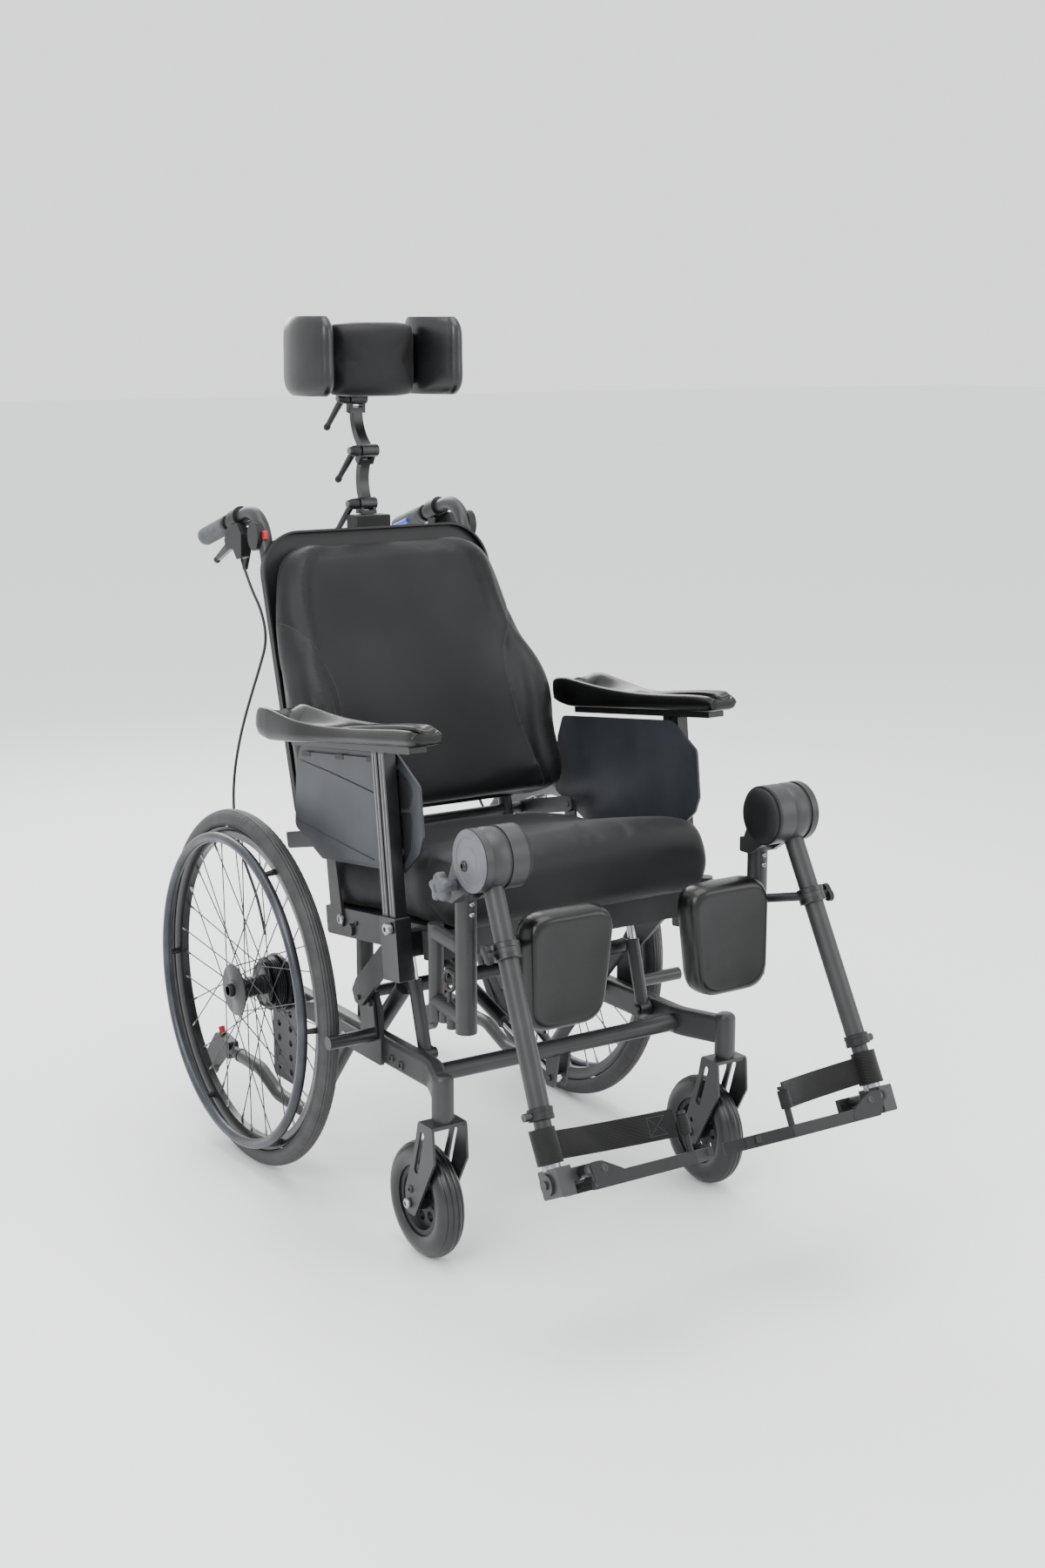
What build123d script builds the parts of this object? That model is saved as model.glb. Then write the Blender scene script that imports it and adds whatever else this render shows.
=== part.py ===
from build123d import *

import os
from math import atan2, cos, degrees, hypot, pi, radians, sin

# Tilt in space wheelchair, as an assembly of separate pieces, in millimetres.
# +Z is up and the chair faces -Y. The user's right is -X, and the left side is its mirror image.
# "f" is the distance forward of the rear axle and "z" the height above the floor. "Outer" and
# "inner" are distances from the middle plane of the chair. The seat unit has its own side view
# (u forward, w up) and so has the back unit (d forward, v up), both leaning as they do at rest.

# ------------------------------------------------------------------ clearances
RUN = 0.05  # radial clearance of a shaft or sliding tube in its bore
SLOT_RUN = 0.2  # clearance on each side of a square post in its socket
GAP = 0.3  # clearance between curved pieces that move past each other
OPEN_PIVOT = 3.4  # radial clearance of the pivots that close the three linkages

# ------------------------------------------------------------------ overall layout
GRIP_END_F = -378.0  # rear ends of the push grips
GRIP_END_Z = 1032.0
GRIP_SLOPE = 17.0  # degrees that the grips fall towards the rear
GRIP_R = 16.5
HEAD_F = 689.0  # elevation axis of the legrests
HEAD_Z = 667.0
LEG_ANGLE = 63.6  # degrees that the leg tube points down from the horizontal
FOOT_AT = 455.0  # from the elevation axis to the footplate's block
TOE_A = 50.0  # front edge of a footplate, in front of the leg tube
PLATE_LOW = -26.0  # underside of a footplate's rims, along the leg
FOOT_F = HEAD_F + cos(radians(LEG_ANGLE)) * FOOT_AT
FOOT_Z = HEAD_Z - sin(radians(LEG_ANGLE)) * FOOT_AT
FRONT_REACH = FOOT_F + sin(radians(LEG_ANGLE)) * TOE_A - cos(radians(LEG_ANGLE)) * PLATE_LOW
REAR_REACH = GRIP_R * sin(radians(GRIP_SLOPE)) - GRIP_END_F
AXLE_Y = (FRONT_REACH - REAR_REACH) / 2

WHEEL_R = 305.0
WHEEL_X = 319.0  # middle plane of a rear wheel
TYRE_R = 17.0
AXLE_R = 6.0
TYRE_H = 29.0  # from the rim's seat to the tread
RIM_DEPTH = 20.0
RIM_SEAT_R = WHEEL_R - TYRE_H
RIM_INNER_R = RIM_SEAT_R - RIM_DEPTH
RIM_HALF = 12.0
HANDRIM_X = 352.0
HANDRIM_R = 261.5
HANDRIM_TUBE_R = 8.5
HANDRIM_SIDES = 24
STANDOFFS = 6
STANDOFF_R = 4.5
SPOKES = 36
SPOKE_R = 1.2
FLANGE_R = 44.0
INNER_FLANGE_R = 38.0
HUB_R = 16.0
HUB_INNER = 268.0
HUB_OUTER = 350.0
DRUM_R = 46.0

CASTER_F = 556.0  # swivel axis
CASTER_X = 269.0
CASTER_R = 91.0
CASTER_TRAIL = 50.0
CASTER_HALF = 22.5
CASTER_TREAD_R = 22.5
STEM_R = 8.0
HOUSING_R = 17.0
HOUSING_LOW = 237.0
HOUSING_TOP = 307.0
BLADE_IN = 27.0
BLADE_T = 4.0

RAIL_X = 237.0
RAIL_W = 26.0
RAIL_H = 47.0
RAIL_Z = 277.5
RAIL_REAR_F = -45.0
RAIL_BEND_F = 478.0
RAIL_IN = RAIL_X - RAIL_W / 2
RAIL_OUT = RAIL_X + RAIL_W / 2

POST_X = 212.0
POST_R = 14.0
LOWER_R = 12.0
LOWER_X = 238.0
CROSS_F = 471.0
CROSS_Z = 275.0
CROSS_R = 14.0
PIN_R = 6.0

# ------------------------------------------------------------------ pivots of the seat unit
TILT_F = 217.0
TILT_Z = 445.0
SEAT_REST = 7.0  # degrees of tilt that the seat has at rest
SEAT = (TILT_F, TILT_Z, SEAT_REST)
RECLINE_F = 150.0
RECLINE_Z = 585.0
BACK_REST = 15.6  # degrees that the back leans at rest
BACK = (RECLINE_F, RECLINE_Z, BACK_REST)
FLOOR = (0.0, 0.0, 0.0)

SIDE_PLATE_IN = 230.0
SIDE_PLATE_OUT = 236.0
SIDE_PLATE_LOW = -14.0
SIDE_PLATE_TOP = 33.0
CHANNEL_IN = 205.0
CHANNEL_LOW = 17.0
PAN_T = 5.0
SEAT_REAR = -85.0
SEAT_FRONT = 262.0
CROSSBAR_U = 276.0

STRUT_FOOT_F = 408.0
STRUT_FOOT_Z = 284.0
STRUT_TOP_U = 141.0
STRUT_R = 11.0
STRUT_ROD_R = 7.0
STRUT_X = 211.0
STRUT_TUBE_END = 118.0
STRUT_ROD_START = 38.0

SPRING_FOOT_F = 462.0
SPRING_FOOT_Z = 222.0
SPRING_TOP_F = 120.0
SPRING_TOP_Z = 330.0
SPRING_R = 12.0
SPRING_ROD_R = 6.0
SPRING_EYE_R = 9.0
SPRING_PIN_R = 5.0

RECLINE_FOOT_F = 5.0
RECLINE_FOOT_Z = 415.0
RECLINE_TOP_F = -95.0
RECLINE_TOP_Z = 700.0
RECLINE_TUBE_R = 11.0

CANE_R = 12.5
CANE_X = 200.0
CANE_D = -152.0  # centre line of the back canes, behind the recline pivot
SHELL_D = -139.0  # back face of the shell
SHELL_T = 4.0
SHELL_HALF = 225.0
SHELL_LOW = 30.0
SHELL_TOP = 529.0
SHELL_CORNER = 75.0
SHELL_RIM = 14.0

GRIP_LENGTH = 112.0

ARMREST_RISE = 80.0  # height adjustment of the armrests
ARM_POST_U = 221.0
ARM_POST_IN = 266.0
ARM_POST_OUT = 286.0
ARM_POST_HALF = 20.0
ARM_RAIL_W = 305.0  # underside of the rail beneath the pad
ARM_RAIL_T = 11.0
PANEL_IN = 257.0
PANEL_T = 4.0
PANEL_COVER_T = 5.0

HANGER_X = 254.0
HANGER_F = 515.0
RECEIVER_R = 12.0
RECEIVER_LOW = 377.0
RECEIVER_TOP = 502.0
HANGER_PIN_R = 8.0
LEG_POST_X = 270.0
LEG_POST_F = 627.0
LEG_POST_R = 16.0
HEAD_R = 46.0
HEAD_IN = 230.0
HEAD_OUT = 300.0
DRUM_IN = 257.0
DRUM_OUT = 289.0
LEG_X = 272.0
LEG_R = 15.0
LEG_BORE_R = 12.5
LEG_END = 372.0
CLAMP_T = 22.0
CALF_PIN_F = 664.0
CALF_PIN_Z = 528.0

LEG_SPLAY = 0.045  # how far the leg tube leans outward
FOOT = (FOOT_F, FOOT_Z, 90 - LEG_ANGLE)  # side view square to the leg tube
FLIP_X = 264.0
FLIP_B = 2.0
FLIP_PIN_R = 5.0
PLATE_TOP = -8.0
PLATE_T = 4.0
PLATE_WALL = 5.0
PLATE_INNER = 29.0
PLATE_OUTER = 256.0
HEEL_A = -50.0
PEG_X = 92.0
PEG_A = 44.0

HEADREST_PIVOTS = ((-140.0, 1099.0), (-131.0, 1191.0), (-170.0, 1280.0))
LINK_BULGE = 17.0
LINK_HALF = 9.0
LINK_DEPTH = 15.0
KNUCKLE_R = 11.0
EAR_OUT = 15.0
POST_BAR = 8.0
POST_F = -137.0
SOCKET_TOP = 1080.0


# ------------------------------------------------------------------ helpers
BASE = (Align.CENTER, Align.CENTER, Align.MIN)
parts = {}


def at(x, f, z):
    """A point by its distance across, forward of the rear axle and above the floor."""
    return Vector(x, AXLE_Y - f, z)


def spot(view, out, a, b):
    """A point on the right side, out from the middle plane, at (a, b) in a side view."""
    f, z, lean = view
    c, s = cos(radians(lean)), sin(radians(lean))
    return at(-out, f + a * c - b * s, z + a * s + b * c)


def side(view, out):
    """The plane of a side view, at a distance out from the middle plane, facing outward."""
    lean = radians(view[2])
    return Plane(origin=spot(view, out, 0, 0), x_dir=(0, -cos(lean), sin(lean)), z_dir=(-1, 0, 0))


def forward(view):
    """The forward direction of a side view."""
    return Vector(0, -cos(radians(view[2])), sin(radians(view[2])))


def upward(view):
    """The upward direction of a side view."""
    return Vector(0, sin(radians(view[2])), cos(radians(view[2])))


def inside(view, f, z):
    """Side view coordinates of a point that is known by f and z."""
    lean = radians(view[2])
    df, dz = f - view[0], z - view[1]
    return df * cos(lean) + dz * sin(lean), dz * cos(lean) - df * sin(lean)


def rounded(points, corner):
    """A closed outline with its corners rounded."""
    face = make_face(Polyline(*points, close=True))
    return fillet(face.vertices(), corner) if corner else face


def oblong(a0, b0, a1, b1):
    """The four corners of a rectangle."""
    return [(a0, b0), (a1, b0), (a1, b1), (a0, b1)]


def plate(view, points, inner, outer, corner=0.0):
    """A flat piece whose outline is drawn in a side view, between two distances out."""
    return extrude(side(view, inner) * rounded(points, corner), outer - inner)


def tube(start, end, radius, bore=0.0):
    """A round bar or tube between two points."""
    plane = Plane(origin=start, z_dir=end - start)
    length = (end - start).length
    solid = plane * Cylinder(radius, length, align=BASE)
    if bore:
        solid -= plane * Cylinder(bore, length, align=BASE)
    return solid


def across(view, a, b, inner, outer, radius, bore=0.0):
    """A round bar or tube across the chair at one point of a side view."""
    return tube(spot(view, inner, a, b), spot(view, outer, a, b), radius, bore)


def bent(points, radius, bends):
    """A round tube along straight runs joined by arcs."""
    path = FilletPolyline(*points, radius=bends)
    return sweep(Plane(origin=path @ 0, z_dir=path % 0) * Circle(radius), path=path)


def turned(f, z, points):
    """A solid of revolution about a line across the chair; points are (outer distance, radius)."""
    plane = Plane(origin=at(0, f, z), x_dir=(-1, 0, 0), z_dir=(0, 1, 0))
    return revolve(plane * make_face(Polyline(*points, close=True)), Axis(at(0, f, z), (1, 0, 0)))


def ring_about(f, z, out, major, minor):
    """A torus about a line across the chair."""
    plane = Plane(origin=at(0, f, z), x_dir=(-1, 0, 0), z_dir=(0, 1, 0))
    return revolve(plane * Pos(out, major) * Circle(minor), Axis(at(0, f, z), (1, 0, 0)))


def group(*shapes):
    """Separate solids that share one node."""
    return Compound([solid for shape in shapes for solid in shape.solids()])


def mirrored(shape):
    return mirror(shape, Plane.YZ)


def pair(name, shape):
    """The right hand piece and its mirror image."""
    parts[name + "_right"] = shape
    parts[name + "_left"] = mirrored(shape)


def both(shape):
    """Right and left copies as one group."""
    return group(shape, mirrored(shape))


def soft_loft(sections):
    """A stuffed form through closed sections of lines and arcs."""
    return loft([section.face() for section in sections])


def arc_outline(points):
    """A closed face from corner points with a point that each side passes through between them."""
    edges = []
    for i in range(0, len(points), 2):
        start, via, end = points[i], points[i + 1], points[(i + 2) % len(points)]
        edges.append(Line(start, end) if via is None else ThreePointArc(start, via, end))
    return make_face(edges)


# ------------------------------------------------------------------ base frame
BRACE_TOP_F = 345.0
BRACE_TOP_Z = 378.0
ANTI_TIP_R = 10.0
ANTI_TIP_WHEEL_R = 25.0
LOCK_PLATE_OUT = 256.0
LOCK_PIN_R = 4.0
LEVER_F = 298.0
LEVER_Z = 358.0
ARM_F = 322.0
ARM_Z = 352.0
ROLLER_ARM_IN = 257.0
ROLLER_ARM_OUT = 262.0
LEVER_IN = ROLLER_ARM_OUT + GAP
LEVER_OUT = LEVER_IN + 7
ROLLER_F = 331.0
ROLLER_Z = 304.0
ROLLER_R = 11.0
ROLLER_END = 343.0
EYE_HALF = 8.0  # half width of the eyes of the gas springs


def side_frame():
    """One side of the base: rail, caster housing, lower tube, seat post, brace and lock plate."""
    path = FilletPolyline(
        at(-RAIL_X, RAIL_REAR_F, RAIL_Z),
        at(-RAIL_X, RAIL_BEND_F, RAIL_Z),
        at(-CASTER_X, CASTER_F, RAIL_Z),
        radius=70.0,
    )
    section = Plane(origin=path @ 0, x_dir=(1, 0, 0), z_dir=path % 0) * RectangleRounded(RAIL_W, RAIL_H, 9)
    frame = sweep(section, path=path)
    housing = Pos(at(-CASTER_X, CASTER_F, HOUSING_LOW)) * Cylinder(
        HOUSING_R, HOUSING_TOP - HOUSING_LOW, align=BASE
    )
    housing = fillet(housing.edges().group_by(Axis.Z)[-1], 10)
    frame += housing
    lower = bent(
        [
            at(-LOWER_X, -205, 106),
            at(-LOWER_X, -128, 106),
            at(-LOWER_X, -58, 79),
            at(-LOWER_X, 62, 79),
            at(-LOWER_X, 222, 268),
        ],
        LOWER_R,
        [60, 60, 55],
    )
    frame += lower
    post_top = TILT_Z
    frame += tube(at(-POST_X, TILT_F, RAIL_Z - 16), at(-POST_X, TILT_F, post_top), POST_R)
    frame += across(FLOOR, TILT_F, TILT_Z, POST_X - POST_R, SIDE_PLATE_IN - GAP, POST_R + 1)
    frame += tube(at(-POST_X, 253, 281), at(-POST_X, BRACE_TOP_F, BRACE_TOP_Z), POST_R)
    frame += across(FLOOR, STRUT_FOOT_F, STRUT_FOOT_Z, STRUT_X - STRUT_R - 1, RAIL_IN + 2, PIN_R)
    frame += across(FLOOR, STRUT_FOOT_F, STRUT_FOOT_Z, STRUT_X - STRUT_R - 7, STRUT_X - STRUT_R - 1, 9)
    frame -= Pos(at(-CASTER_X, CASTER_F, HOUSING_LOW)) * Cylinder(STEM_R + RUN, 50, align=BASE)
    frame -= across(FLOOR, TILT_F, TILT_Z, POST_X - 20, SIDE_PLATE_IN, PIN_R + RUN)
    frame -= tube(at(-LOWER_X, -206, 106), at(-LOWER_X, -136, 106), ANTI_TIP_R + RUN)
    lock_plate = plate(
        FLOOR,
        [(206, 254), (345, 254), (345, 345), (330, 372), (286, 372), (278, 345), (278, 292), (206, 292)],
        RAIL_OUT,
        LOCK_PLATE_OUT,
        4,
    )
    lock_plate -= across(FLOOR, LEVER_F, LEVER_Z, RAIL_OUT - 1, LOCK_PLATE_OUT + 1, LOCK_PIN_R)
    lock_plate -= across(FLOOR, ARM_F, ARM_Z, RAIL_OUT - 1, LOCK_PLATE_OUT + 1, LOCK_PIN_R)
    lever_pin = across(FLOOR, LEVER_F, LEVER_Z, RAIL_OUT - 3, LEVER_OUT + 3, LOCK_PIN_R)
    arm_pin = across(FLOOR, ARM_F, ARM_Z, RAIL_OUT - 3, ROLLER_ARM_OUT + 3, LOCK_PIN_R)
    return group(frame, lock_plate + lever_pin + arm_pin)


pair("side_frame", side_frame())


def cross_tubes():
    """Tubes between the two sides, with the bracket that carries the foot of the tilt spring."""
    frames = group(parts["side_frame_right"], parts["side_frame_left"])
    front = across(FLOOR, CROSS_F, CROSS_Z, -RAIL_X, RAIL_X, CROSS_R)
    lug = plate(FLOOR, [(452, 268), (486, 268), (474, 208), (450, 208)], EYE_HALF + GAP, EYE_HALF + 5, 6)
    front += lug + mirrored(lug)
    front += across(FLOOR, SPRING_FOOT_F, SPRING_FOOT_Z, -EYE_HALF - 8, EYE_HALF + 8, SPRING_PIN_R)
    rear = across(FLOOR, TILT_F, 334, -POST_X, POST_X, 10)
    middle = across(FLOOR, BRACE_TOP_F, BRACE_TOP_Z, -POST_X, POST_X, 12)
    tubes = []
    for bar in (front, rear, middle):
        for frame in frames.solids():
            bar = bar - frame
        tubes.append(max(bar.solids(), key=lambda s: s.volume))
    return group(*tubes)


parts["base_cross_tubes"] = cross_tubes()


def axle_mount():
    """Hole-patterned axle plate with the axle, its nut and the fixed back plate of the drum brake."""
    board = plate(FLOOR, [(-38, 128), (50, 128), (50, 345), (-38, 345)], RAIL_OUT, RAIL_OUT + 6, 8)
    for row in range(5):
        for column in (-14, 28):
            board -= across(FLOOR, column, 148 + 26 * row, RAIL_OUT - 1, RAIL_OUT + 7, 6)
    board += across(FLOOR, 0, WHEEL_R, RAIL_OUT + 6, RAIL_OUT + 10, 20)
    board += across(FLOOR, 0, WHEEL_R, RAIL_OUT + 10, HUB_INNER - 2, 50)
    board += across(FLOOR, 0, WHEEL_R, RAIL_OUT, HUB_OUTER + 8, AXLE_R)
    board += across(FLOOR, 0, WHEEL_R, HUB_OUTER + 1, HUB_OUTER + 8, 9)
    return board


parts["axle_mounts"] = both(axle_mount())


# ------------------------------------------------------------------ rear wheels
def rear_tyre():
    tyre = ring_about(0, WHEEL_R, WHEEL_X, WHEEL_R - TYRE_R, TYRE_R)
    return tyre - across(FLOOR, 0, WHEEL_R, WHEEL_X - TYRE_R, WHEEL_X + TYRE_R, RIM_SEAT_R)


def rear_rim():
    return turned(
        0,
        WHEEL_R,
        [
            (WHEEL_X - 6, RIM_INNER_R),
            (WHEEL_X + 6, RIM_INNER_R),
            (WHEEL_X + RIM_HALF, RIM_SEAT_R - 7),
            (WHEEL_X + RIM_HALF, RIM_SEAT_R),
            (WHEEL_X - RIM_HALF, RIM_SEAT_R),
            (WHEEL_X - RIM_HALF, RIM_SEAT_R - 7),
        ],
    )


def rear_hub():
    """Hub with a large flange outside, a smaller one inside and the brake drum."""
    return turned(
        0,
        WHEEL_R,
        [
            (HUB_INNER, AXLE_R + RUN),
            (HUB_INNER, DRUM_R),
            (HUB_INNER + 18, DRUM_R),
            (HUB_INNER + 18, HUB_R + 6),
            (291, HUB_R),
            (291, INNER_FLANGE_R),
            (294, INNER_FLANGE_R),
            (294, HUB_R),
            (344, HUB_R),
            (344, FLANGE_R),
            (347, FLANGE_R),
            (347, HUB_R + 2),
            (HUB_OUTER, HUB_R),
            (HUB_OUTER, AXLE_R + RUN),
        ],
    )


def rear_spokes():
    """Crossed spokes, each on the inner face of its flange and ending just short of the rim."""
    spokes = []
    for i in range(SPOKES):
        outward = i % 2
        face = 344 - GAP - SPOKE_R if outward else 294 + GAP + SPOKE_R
        hole = (FLANGE_R if outward else INNER_FLANGE_R) - 4
        leading = (i // 2) % 2
        stack = 3.0 * leading
        sign = -1 if outward else 1
        turn = 66 if leading else -66
        rim_angle = radians(360 * i / SPOKES)
        hub_angle = rim_angle + radians(turn)
        rim_x = WHEEL_X - sign * (6.5 - 4.0 * leading) * 0.7
        ends = []
        for out, radius, angle in (
            (face + sign * stack, hole, hub_angle),
            (rim_x, RIM_INNER_R - 0.4, rim_angle),
        ):
            ends.append(at(-out, radius * cos(angle), WHEEL_R + radius * sin(angle)))
        spokes.append(tube(ends[0], ends[1], SPOKE_R))
    return spokes


def handrim():
    """Push rim, turned from a fine polygon, with its standoffs, which reach the flat side of the rim."""
    section = []
    for i in range(HANDRIM_SIDES):
        turn = 2 * pi * (i + 0.5) / HANDRIM_SIDES
        section.append((HANDRIM_X + HANDRIM_TUBE_R * cos(turn), HANDRIM_R + HANDRIM_TUBE_R * sin(turn)))
    standoffs = []
    for i in range(STANDOFFS):
        angle = 2 * pi * i / STANDOFFS
        ends = [
            at(-out, radius * cos(angle), WHEEL_R + radius * sin(angle))
            for out, radius in ((WHEEL_X + 4, RIM_SEAT_R - 4), (HANDRIM_X - 2, HANDRIM_R + 1))
        ]
        standoffs.append(tube(ends[0], ends[1], STANDOFF_R))
    return turned(0, WHEEL_R, section).fuse(*standoffs)


rim = rear_rim()
tyre = rear_tyre()
push_ring = handrim() - rim - tyre
push_ring = max(push_ring.solids(), key=lambda s: s.volume)
pair("rear_tyre", tyre)
pair("rear_wheel", group(rim, rear_hub(), push_ring, *rear_spokes()))


# ------------------------------------------------------------------ casters
CASTER_AXLE_F = CASTER_F - CASTER_TRAIL
CASTER_AXLE_R = 4.0


def caster_fork():
    """Fork with slotted blades, a stem in the frame's housing and the wheel's axle."""
    crown_z = HOUSING_LOW - 5
    outline = [
        (CASTER_F - 22, crown_z),
        (CASTER_F + 20, crown_z),
        (CASTER_F + 24, 176),
        (CASTER_AXLE_F + 16, 74),
        (CASTER_AXLE_F - 10, 74),
        (CASTER_AXLE_F - 12, 112),
        (CASTER_F - 30, 196),
    ]
    inner = CASTER_X - BLADE_IN - BLADE_T
    outer = CASTER_X + BLADE_IN + BLADE_T
    blade = plate(FLOOR, outline, inner, inner + BLADE_T, 7)
    slot = [(CASTER_F - 14, 218), (CASTER_F - 2, 218), (CASTER_F - 24, 146), (CASTER_F - 36, 146)]
    fork = blade + plate(FLOOR, outline, outer - BLADE_T, outer, 7)
    for x in (inner, outer - BLADE_T):
        fork -= plate(FLOOR, slot, x - 1, x + BLADE_T + 1, 5)
        fork -= across(FLOOR, CASTER_AXLE_F + 5, CASTER_R + 24, x - 1, x + BLADE_T + 1, 4)
    fork += plate(
        FLOOR,
        oblong(CASTER_F - 20, crown_z - 6, CASTER_F + 18, crown_z),
        inner,
        outer,
    )
    fork += Pos(at(-CASTER_X, CASTER_F, crown_z)) * Cylinder(15, 4.7, align=BASE)
    fork += Pos(at(-CASTER_X, CASTER_F, crown_z)) * Cylinder(STEM_R, 50, align=BASE)
    fork += across(FLOOR, CASTER_AXLE_F, CASTER_R, inner - 3, outer + 3, CASTER_AXLE_R)
    for x in (inner - 4, outer):
        fork += across(FLOOR, CASTER_AXLE_F, CASTER_R, x, x + 4, 7)
    return fork


def caster_wheel():
    """Tyre and a dished hub with lightening holes."""
    seat_r = 55.0
    tyre = ring_about(CASTER_AXLE_F, CASTER_R, CASTER_X, CASTER_R - CASTER_TREAD_R, CASTER_TREAD_R)
    tyre -= across(FLOOR, CASTER_AXLE_F, CASTER_R, CASTER_X - 30, CASTER_X + 30, seat_r)
    hub = turned(
        CASTER_AXLE_F,
        CASTER_R,
        [
            (CASTER_X - BLADE_IN + GAP, CASTER_AXLE_R + RUN),
            (CASTER_X - BLADE_IN + GAP, 13),
            (CASTER_X - 5, 15),
            (CASTER_X - 5, 42),
            (CASTER_X - 15, 46),
            (CASTER_X - 15, seat_r),
            (CASTER_X + 15, seat_r),
            (CASTER_X + 15, 46),
            (CASTER_X + 5, 42),
            (CASTER_X + 5, 15),
            (CASTER_X + BLADE_IN - GAP, 13),
            (CASTER_X + BLADE_IN - GAP, CASTER_AXLE_R + RUN),
        ],
    )
    for i in range(7):
        angle = 2 * pi * i / 7
        hub -= across(
            FLOOR,
            CASTER_AXLE_F + 29 * cos(angle),
            CASTER_R + 29 * sin(angle),
            CASTER_X - 20,
            CASTER_X + 20,
            8,
        )
    return group(tyre, hub)


pair("caster_fork", caster_fork())
pair("caster_wheel", caster_wheel())


# ------------------------------------------------------------------ wheel locks and anti-tippers
def lock_lever():
    """Flat hand lever of a wheel lock."""
    grip = [(286, 347), (306, 345), (401, 437), (393, 466), (372, 462), (290, 388), (276, 366)]
    lever = plate(FLOOR, grip, LEVER_IN, LEVER_OUT, 6)
    return lever - across(FLOOR, LEVER_F, LEVER_Z, LEVER_IN - 1, LEVER_OUT + 1, LOCK_PIN_R + RUN)


def lock_arm():
    """Swinging arm of a wheel lock with the roller that presses on the tyre."""
    arm = plate(
        FLOOR,
        [
            (ARM_F - 9, ARM_Z + 9),
            (ARM_F + 9, ARM_Z + 9),
            (ROLLER_F + 10, ROLLER_Z - 9),
            (ROLLER_F - 10, ROLLER_Z - 9),
        ],
        ROLLER_ARM_IN,
        ROLLER_ARM_OUT,
        6,
    )
    arm -= across(FLOOR, ARM_F, ARM_Z, ROLLER_ARM_IN - 1, ROLLER_ARM_OUT + 1, LOCK_PIN_R + RUN)
    return arm + across(FLOOR, ROLLER_F, ROLLER_Z, ROLLER_ARM_OUT, ROLLER_END, ROLLER_R)


def anti_tipper():
    """Anti-tip leg that slides in the lower tube, with its wheel and release button."""
    leg = tube(at(-LOWER_X, -138, 106), at(-LOWER_X, -262, 106), ANTI_TIP_R)
    leg += tube(at(-LOWER_X, -206, 106), at(-LOWER_X, -212, 106), LOWER_R + 1)
    boot = plate(
        FLOOR,
        [(-240, 122), (-296, 128), (-352, 66), (-344, 46), (-324, 48), (-276, 92), (-240, 90)],
        LOWER_X - 10,
        LOWER_X + 10,
        6,
    )
    leg += boot
    wheel_f, wheel_z = -342.0, 57.0
    gap = across(FLOOR, wheel_f, wheel_z, LOWER_X - 6.5, LOWER_X + 6.5, ANTI_TIP_WHEEL_R + 3)
    leg -= gap
    leg += across(FLOOR, wheel_f, wheel_z, LOWER_X - 10, LOWER_X + 10, 3)
    wheel = across(FLOOR, wheel_f, wheel_z, LOWER_X - 6, LOWER_X + 6, ANTI_TIP_WHEEL_R, 3 + RUN)
    button = tube(at(-LOWER_X, -285, 126.5), at(-LOWER_X, -291, 139), 6)
    return group(leg, wheel, button - leg)


pair("wheel_lock_lever", lock_lever())
pair("wheel_lock_arm", lock_arm())
pair("anti_tipper", anti_tipper())


# ------------------------------------------------------------------ seat unit
PAN_LOW = SIDE_PLATE_TOP - PAN_T
STRAP_OUT = 240.0
BRACKET_IN = 231.0
REAR_BAR_R = 10.0
REAR_BAR_U = SEAT_REAR + REAR_BAR_R + 3
FORK_HALF = 14.0  # half gap between the two wings that hold a gas spring's eye


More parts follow.
